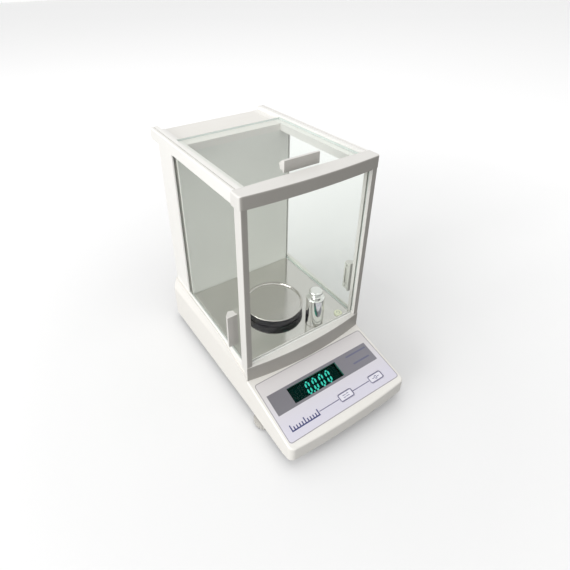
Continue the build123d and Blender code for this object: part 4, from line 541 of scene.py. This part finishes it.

# ---------------------------------------------------------------- printed lines
# One tree prints a line: it follows the given path and sweeps a flat ribbon of ink along it.
line_tree, size, out = new_tree("printed_line", {
    "Path": "NodeSocketObject", "Line Width": "NodeSocketFloat", "Ink Thickness": "NodeSocketFloat",
    "Ink": "NodeSocketMaterial"})
path = add(line_tree, "GeometryNodeObjectInfo", {"Object": size["Path"]})
profile = add(line_tree, "GeometryNodeCurvePrimitiveQuadrilateral",
              {"Width": size["Line Width"], "Height": size["Ink Thickness"]})
swept = add(line_tree, "GeometryNodeCurveToMesh",
            {"Curve": path.outputs["Geometry"], "Profile Curve": profile.outputs["Curve"], "Fill Caps": True})
real = add(line_tree, "GeometryNodeRealizeInstances", {"Geometry": swept.outputs["Mesh"]})
flat = add(line_tree, "GeometryNodeSetShadeSmooth",
           {"Geometry": real.outputs["Geometry"], "Shade Smooth": False})
inked = add(line_tree, "GeometryNodeSetMaterial",
            {"Geometry": flat.outputs["Geometry"], "Material": size["Ink"]})
line_tree.links.new(inked.outputs["Geometry"], out.inputs["Geometry"])


def drawn(name, runs, closed, width_mm, ink, lift_mm, body):
    """Printed lines on the panel. Each run is a list of (x, t) points in millimetres on the panel's face."""
    curve = bpy.data.curves.new(name + "_path", "CURVE")
    curve.dimensions = "3D"
    for run in runs:
        spline = curve.splines.new("POLY")
        spline.points.add(len(run) - 1)
        for point, (x, t) in zip(spline.points, run):
            point.co = (x * MM, -t * MM, 0, 1)
        spline.use_cyclic_u = closed
    path = bpy.data.objects.new(name + "_path", curve)
    scene.collection.objects.link(path)
    piece = from_tree(name, line_tree, {"Path": path, "Line Width": width_mm * MM, "Ink Thickness": 0.04 * MM,
                                        "Ink": ink},
                      PANEL_FRAME @ Matrix.Translation((0, 0, lift_mm * MM)))
    bpy.data.objects.remove(path)
    return keep(piece, body)


CORNER_STEPS = 5


def round_box(x, t, width, height, radius):
    """The points of a rounded rectangle about (x, t)."""
    points = []
    corners = [(1, 1, 0), (-1, 1, 90), (-1, -1, 180), (1, -1, 270)]
    for sx, st, start in corners:
        cx = x + sx * (width / 2 - radius)
        ct = t + st * (height / 2 - radius)
        for k in range(CORNER_STEPS + 1):
            angle = math.radians(start + 90 * k / CORNER_STEPS)
            points.append((cx + radius * math.cos(angle), ct + radius * math.sin(angle)))
    return points


KEY_T = 82.6
KEY_X = {"tare_key": 64.4, "mode_key": 8.6}
KEY_OUTLINE = (22.4, 9.9, 2.0)  # width, height and corner radius of a key's border
SEAM_SHADOW_SIZE = (191.2, 87.2, 4.0)  # the same of the grey line round the panel, painted shadow of the seam between film and housing
SEAM_SHADOW_T = 54
LINE_START = -38  # where the joining line starts, just past the scale mark
KEY_REACH = 12.4  # half a key and the gap beside it
FILM_TOP = 0.42
KEY_TOP = 0.62
drawn("joining_lines", [[(LINE_START, KEY_T), (KEY_X["mode_key"] - KEY_REACH, KEY_T)],
                        [(KEY_X["mode_key"] + KEY_REACH, KEY_T), (KEY_X["tare_key"] - KEY_REACH, KEY_T)]],
      False, 1.1, violet_ink, FILM_TOP, "base")
# A grey line round the film's edge paints the shadow in the seam between film and housing.
drawn("overlay_edge", [round_box(0, SEAM_SHADOW_T, *SEAM_SHADOW_SIZE)], True, 0.8, seam_shadow_ink, FILM_TOP, "base")
for key, key_x in KEY_X.items():
    drawn(key + "_outline", [round_box(key_x, KEY_T, *KEY_OUTLINE)], True, 1.3, violet_ink, KEY_TOP, key)
# Generic marks in place of words: a nought between arrows on one key, two arrows in a loop on the other.
tare_x = KEY_X["tare_key"]
drawn("tare_key_mark", [[(tare_x - 6, KEY_T), (tare_x - 2.8, KEY_T)],
                        [(tare_x + 6, KEY_T), (tare_x + 2.8, KEY_T)]],
      False, 0.8, blue_ink, KEY_TOP, "tare_key")
drawn("tare_key_nought", [round_box(tare_x, KEY_T, 3.0, 4.4, 1.4)], True, 0.8, blue_ink, KEY_TOP, "tare_key")
mode_x = KEY_X["mode_key"]
drawn("mode_key_mark", [[(mode_x - 5, KEY_T - 1.4), (mode_x + 5, KEY_T - 1.4), (mode_x + 3, KEY_T - 2.8)],
                        [(mode_x + 5, KEY_T + 1.4), (mode_x - 5, KEY_T + 1.4), (mode_x - 3, KEY_T + 2.8)]],
      False, 0.8, blue_ink, KEY_TOP, "mode_key")
# A plain scale with graduations stands where a maker's word would be.
TICK_FOOT = 86.0
TICK_PITCH = 4.4
FIRST_TICK = -84
ticks = [[(FIRST_TICK + TICK_PITCH * k, TICK_FOOT),
          (FIRST_TICK + TICK_PITCH * k, TICK_FOOT - (8.0 if k % 5 == 0 else 4.6))] for k in range(11)]
drawn("panel_scale_mark", [[(-85, KEY_T + 3.8), (-39, KEY_T + 3.8)]] + ticks, False, 1.7, blue_ink, FILM_TOP,
      "base")
drawn("band_bars", [[(46, 38), (84, 38)], [(50, 51.5), (80, 51.5)]], False, 2.2, band_ink, FILM_TOP,
      "base")

# ---------------------------------------------------------------- coil winding
# One layer of enamelled wire lies round the former: the tree winds a spiral and sweeps a round wire along it.
winding_tree, size, out = new_tree("coil_winding", {
    "Turns": "NodeSocketFloat", "Radius": "NodeSocketFloat", "Height": "NodeSocketFloat",
    "Wire Radius": "NodeSocketFloat", "Wire": "NodeSocketMaterial"})
spiral = add(winding_tree, "GeometryNodeCurveSpiral",
             {"Resolution": 32, "Rotations": size["Turns"], "Start Radius": size["Radius"],
              "End Radius": size["Radius"], "Height": size["Height"]})
round_wire = add(winding_tree, "GeometryNodeCurvePrimitiveCircle",
                 {"Resolution": 6, "Radius": size["Wire Radius"]})
wound = add(winding_tree, "GeometryNodeCurveToMesh", {"Curve": spiral.outputs["Curve"],
                                                      "Profile Curve": round_wire.outputs["Curve"],
                                                      "Fill Caps": True})
real = add(winding_tree, "GeometryNodeRealizeInstances", {"Geometry": wound.outputs["Mesh"]})
coated = add(winding_tree, "GeometryNodeSetMaterial",
             {"Geometry": real.outputs["Geometry"], "Material": size["Wire"]})
winding_tree.links.new(coated.outputs["Geometry"], out.inputs["Geometry"])

WIRE_RADIUS = 0.34 * MM
WIRE_OUT = 0.8  # how far the wire's middle lies outside the former, as a share of its radius
WINDING_HEIGHT = 10 * MM
FORMER_LIP = 0.6 * MM
coil_low, coil_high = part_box("coil")
keep(from_tree("coil_winding", winding_tree,
               {"Turns": 14.0, "Radius": (coil_high.x - coil_low.x) / 2 + WIRE_OUT * WIRE_RADIUS,
                "Height": WINDING_HEIGHT, "Wire Radius": WIRE_RADIUS, "Wire": lacquered_copper},
               Matrix.Translation((*upright_axis("coil"), coil_low.z + FORMER_LIP))), "lever")

# ---------------------------------------------------------------- chip legs
# Gull-wing legs of the two chips on the main board: one bent strip, repeated in a row along each long side.
leg_tree, size, out = new_tree("chip_legs", {
    "Legs": "NodeSocketInt", "Pitch": "NodeSocketFloat", "Reach": "NodeSocketFloat", "Rise": "NodeSocketFloat",
    "Leg Width": "NodeSocketFloat", "Leg Thickness": "NodeSocketFloat", "Metal": "NodeSocketMaterial"})
start = add(leg_tree, "ShaderNodeCombineXYZ", {"Z": size["Rise"]})
bend_x = add(leg_tree, "ShaderNodeMath", {0: size["Reach"], 1: 0.6}, operation="MULTIPLY")
bend = add(leg_tree, "ShaderNodeCombineXYZ", {"X": bend_x.outputs[0], "Z": size["Rise"]})
foot = add(leg_tree, "ShaderNodeCombineXYZ", {"X": size["Reach"]})
leg = add(leg_tree, "GeometryNodeCurveQuadraticBezier", {"Resolution": 4, "Start": start.outputs["Vector"],
                                                         "Middle": bend.outputs["Vector"],
                                                         "End": foot.outputs["Vector"]})
strip = add(leg_tree, "GeometryNodeCurvePrimitiveQuadrilateral", {"Width": size["Leg Width"],
                                                                  "Height": size["Leg Thickness"]})
bent = add(leg_tree, "GeometryNodeCurveToMesh", {"Curve": leg.outputs["Curve"],
                                                 "Profile Curve": strip.outputs["Curve"], "Fill Caps": True})
apart = add(leg_tree, "ShaderNodeCombineXYZ", {"Y": size["Pitch"]})
row = add(leg_tree, "GeometryNodeMeshLine", {"Count": size["Legs"], "Offset": apart.outputs["Vector"]})
legs = add(leg_tree, "GeometryNodeInstanceOnPoints", {"Points": row.outputs["Mesh"],
                                                      "Instance": bent.outputs["Mesh"]})
real = add(leg_tree, "GeometryNodeRealizeInstances", {"Geometry": legs.outputs["Instances"]})
flat = add(leg_tree, "GeometryNodeSetShadeSmooth",
           {"Geometry": real.outputs["Geometry"], "Shade Smooth": False})
plated = add(leg_tree, "GeometryNodeSetMaterial", {"Geometry": flat.outputs["Geometry"],
                                                   "Material": size["Metal"]})
leg_tree.links.new(plated.outputs["Geometry"], out.inputs["Geometry"])

board_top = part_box("main_board")[1].z
LEG_PITCH = 1.0
LEG_SIZES = {"Pitch": LEG_PITCH * MM, "Reach": 1.4 * MM, "Rise": 1.0 * MM, "Leg Width": 0.4 * MM,
             "Leg Thickness": 0.16 * MM, "Metal": tinned_lead}
LEG_FOOT = 0.1 * MM  # height of a leg's foot above the board
CHIP_END = 2  # length at a chip's two ends that has no legs
# Each chip's middle on the board, its width and its length, in millimetres.
CHIPS = {"processor": (-66, 20, 14, 14), "converter": (-66, 48, 10, 16)}
for chip, (chip_x, chip_y, width, length) in CHIPS.items():
    legs_span = length - CHIP_END
    for edge, turn, side in (("left", math.pi, -1), ("right", 0.0, 1)):
        keep(from_tree(f"{chip}_{edge}_legs", leg_tree,
                       {**LEG_SIZES, "Legs": int(legs_span / LEG_PITCH) + 1},
                       Matrix.Translation(((chip_x + side * width / 2) * MM,
                                           (chip_y - side * legs_span / 2) * MM, board_top + LEG_FOOT))
                       @ Matrix.Rotation(turn, 4, "Z")), "base")

# ---------------------------------------------------------------- level ring
TURNED_STEPS = 48


def turned(name, profile, centre, finish, body):
    """A closed ring turned from (radius, height) points about an upright axis."""
    mesh = bmesh.new()
    angles = [2 * math.pi * k / TURNED_STEPS for k in range(TURNED_STEPS)]
    rings = [[mesh.verts.new((centre[0] + r * math.cos(a), centre[1] + r * math.sin(a), z)) for a in angles]
             for r, z in profile]
    for ring, after in zip(rings, rings[1:] + rings[:1]):
        for k in range(TURNED_STEPS):
            following = (k + 1) % TURNED_STEPS
            mesh.faces.new((ring[k], ring[following], after[following], after[k]))
    bmesh.ops.remove_doubles(mesh, verts=mesh.verts, dist=1e-7)
    bmesh.ops.recalc_face_normals(mesh, faces=mesh.faces)
    data = bpy.data.meshes.new(name)
    mesh.to_mesh(data)
    mesh.free()
    data.materials.append(finish)
    for face in data.polygons:
        face.use_smooth = True
    piece = bpy.data.objects.new(name, data)
    scene.collection.objects.link(piece)
    return keep(piece, body)


RING_INNER = 2.3 * MM
RING_OUTER = 2.7 * MM
vial_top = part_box("level_vial")[1].z
ring_foot = vial_top + 0.02 * MM
ring_face = vial_top + 0.1 * MM
turned("level_ring", [(RING_INNER, ring_foot), (RING_OUTER, ring_foot), (RING_OUTER, ring_face),
                      (RING_INNER, ring_face)], upright_axis("level_vial"), black_ink, "base")

# ---------------------------------------------------------------- stage
floor_mesh = bmesh.new()
bmesh.ops.create_circle(floor_mesh, cap_ends=True, radius=9.0, segments=96)
floor_data = bpy.data.meshes.new("floor")
floor_mesh.to_mesh(floor_data)
floor_mesh.free()
floor = bpy.data.objects.new("floor", floor_data)
scene.collection.objects.link(floor)
# Matt white background paper, painted a little darker near the object and whiter further out: painted shade
# round the object.
# The object itself sees it as a mid grey, so that it doesn't fill the shaded faces.
paper_backdrop, tree, out = new_finish("paper_backdrop_matt")
place = add(tree, "ShaderNodeTexCoord").outputs["Object"]
reach = add(tree, "ShaderNodeVectorMath", {0: place}, operation="LENGTH")
white = add(tree, "ShaderNodeMapRange", {"Value": reach.outputs["Value"], "From Min": 0.35, "From Max": 1.2,
                                         "To Min": 0.84, "To Max": 1.0})
bright = add(tree, "ShaderNodeCombineXYZ", {axis: white.outputs["Result"] for axis in "XYZ"})
seen = add(tree, "ShaderNodeLightPath").outputs["Is Camera Ray"]
paper = add(tree, "ShaderNodeMix", {"Factor": seen, 6: colour("#8C8C8C"), 7: bright.outputs["Vector"]},
            data_type="RGBA")
sheet = add(tree, "ShaderNodeBsdfDiffuse", {"Color": paper.outputs[2], "Roughness": 0.5})
tree.links.new(sheet.outputs["BSDF"], out.inputs["Surface"])
floor_data.materials.append(paper_backdrop)

world = bpy.data.worlds.new("studio")
world.use_nodes = True
world.node_tree.nodes.clear()
tree = world.node_tree
seen = add(tree, "ShaderNodeLightPath").outputs["Is Camera Ray"]
level = add(tree, "ShaderNodeMapRange", {"Value": seen, "To Min": 0.85, "To Max": 1.0})
sky = add(tree, "ShaderNodeBackground", {"Color": (1, 1, 1, 1), "Strength": level.outputs["Result"]})
add(tree, "ShaderNodeOutputWorld", {"Surface": sky.outputs["Background"]})
scene.world = world


def soft_light(name, at, aim, width, height, power):
    """A rectangular softbox at one point, turned to another."""
    lamp = bpy.data.lights.new(name, "AREA")
    lamp.shape = "RECTANGLE"
    lamp.size = width
    lamp.size_y = height
    lamp.energy = power
    stand = bpy.data.objects.new(name, lamp)
    stand.location = at
    stand.rotation_euler = (Vector(aim) - Vector(at)).to_track_quat("-Z", "Y").to_euler()
    scene.collection.objects.link(stand)


soft_light("softbox_left", (-2.3, -0.3, 0.7), (0, 0, 0.2), 1.8, 1.2, 42)
soft_light("softbox_top", (0.0, 0.1, 2.4), (0, 0.05, 0.1), 2.0, 2.0, 8)

# ---------------------------------------------------------------- camera
YAW = math.radians(31.2118)
PITCH = math.radians(31.6275)
ROLL = -0.0229
EYE = Vector((-0.28997, -0.42200, 0.55695))
forward = Vector((math.sin(YAW) * math.cos(PITCH), math.cos(YAW) * math.cos(PITCH), -math.sin(PITCH)))
right = Vector((math.cos(YAW), -math.sin(YAW), 0))
up = right.cross(forward)
across = right * math.cos(ROLL) + up * math.sin(ROLL)
upward = up * math.cos(ROLL) - right * math.sin(ROLL)
lens = bpy.data.cameras.new("camera")
lens.lens = 27.193
lens.sensor_width = 36
lens.shift_x = 0.0521
lens.shift_y = -0.1060
lens.clip_start = 0.01
camera = bpy.data.objects.new("camera", lens)
camera.matrix_world = Matrix.LocRotScale(EYE, Matrix((across, upward, -forward)).transposed().to_quaternion(),
                                         None)
scene.collection.objects.link(camera)
scene.camera = camera
scene.view_settings.view_transform = "Standard"
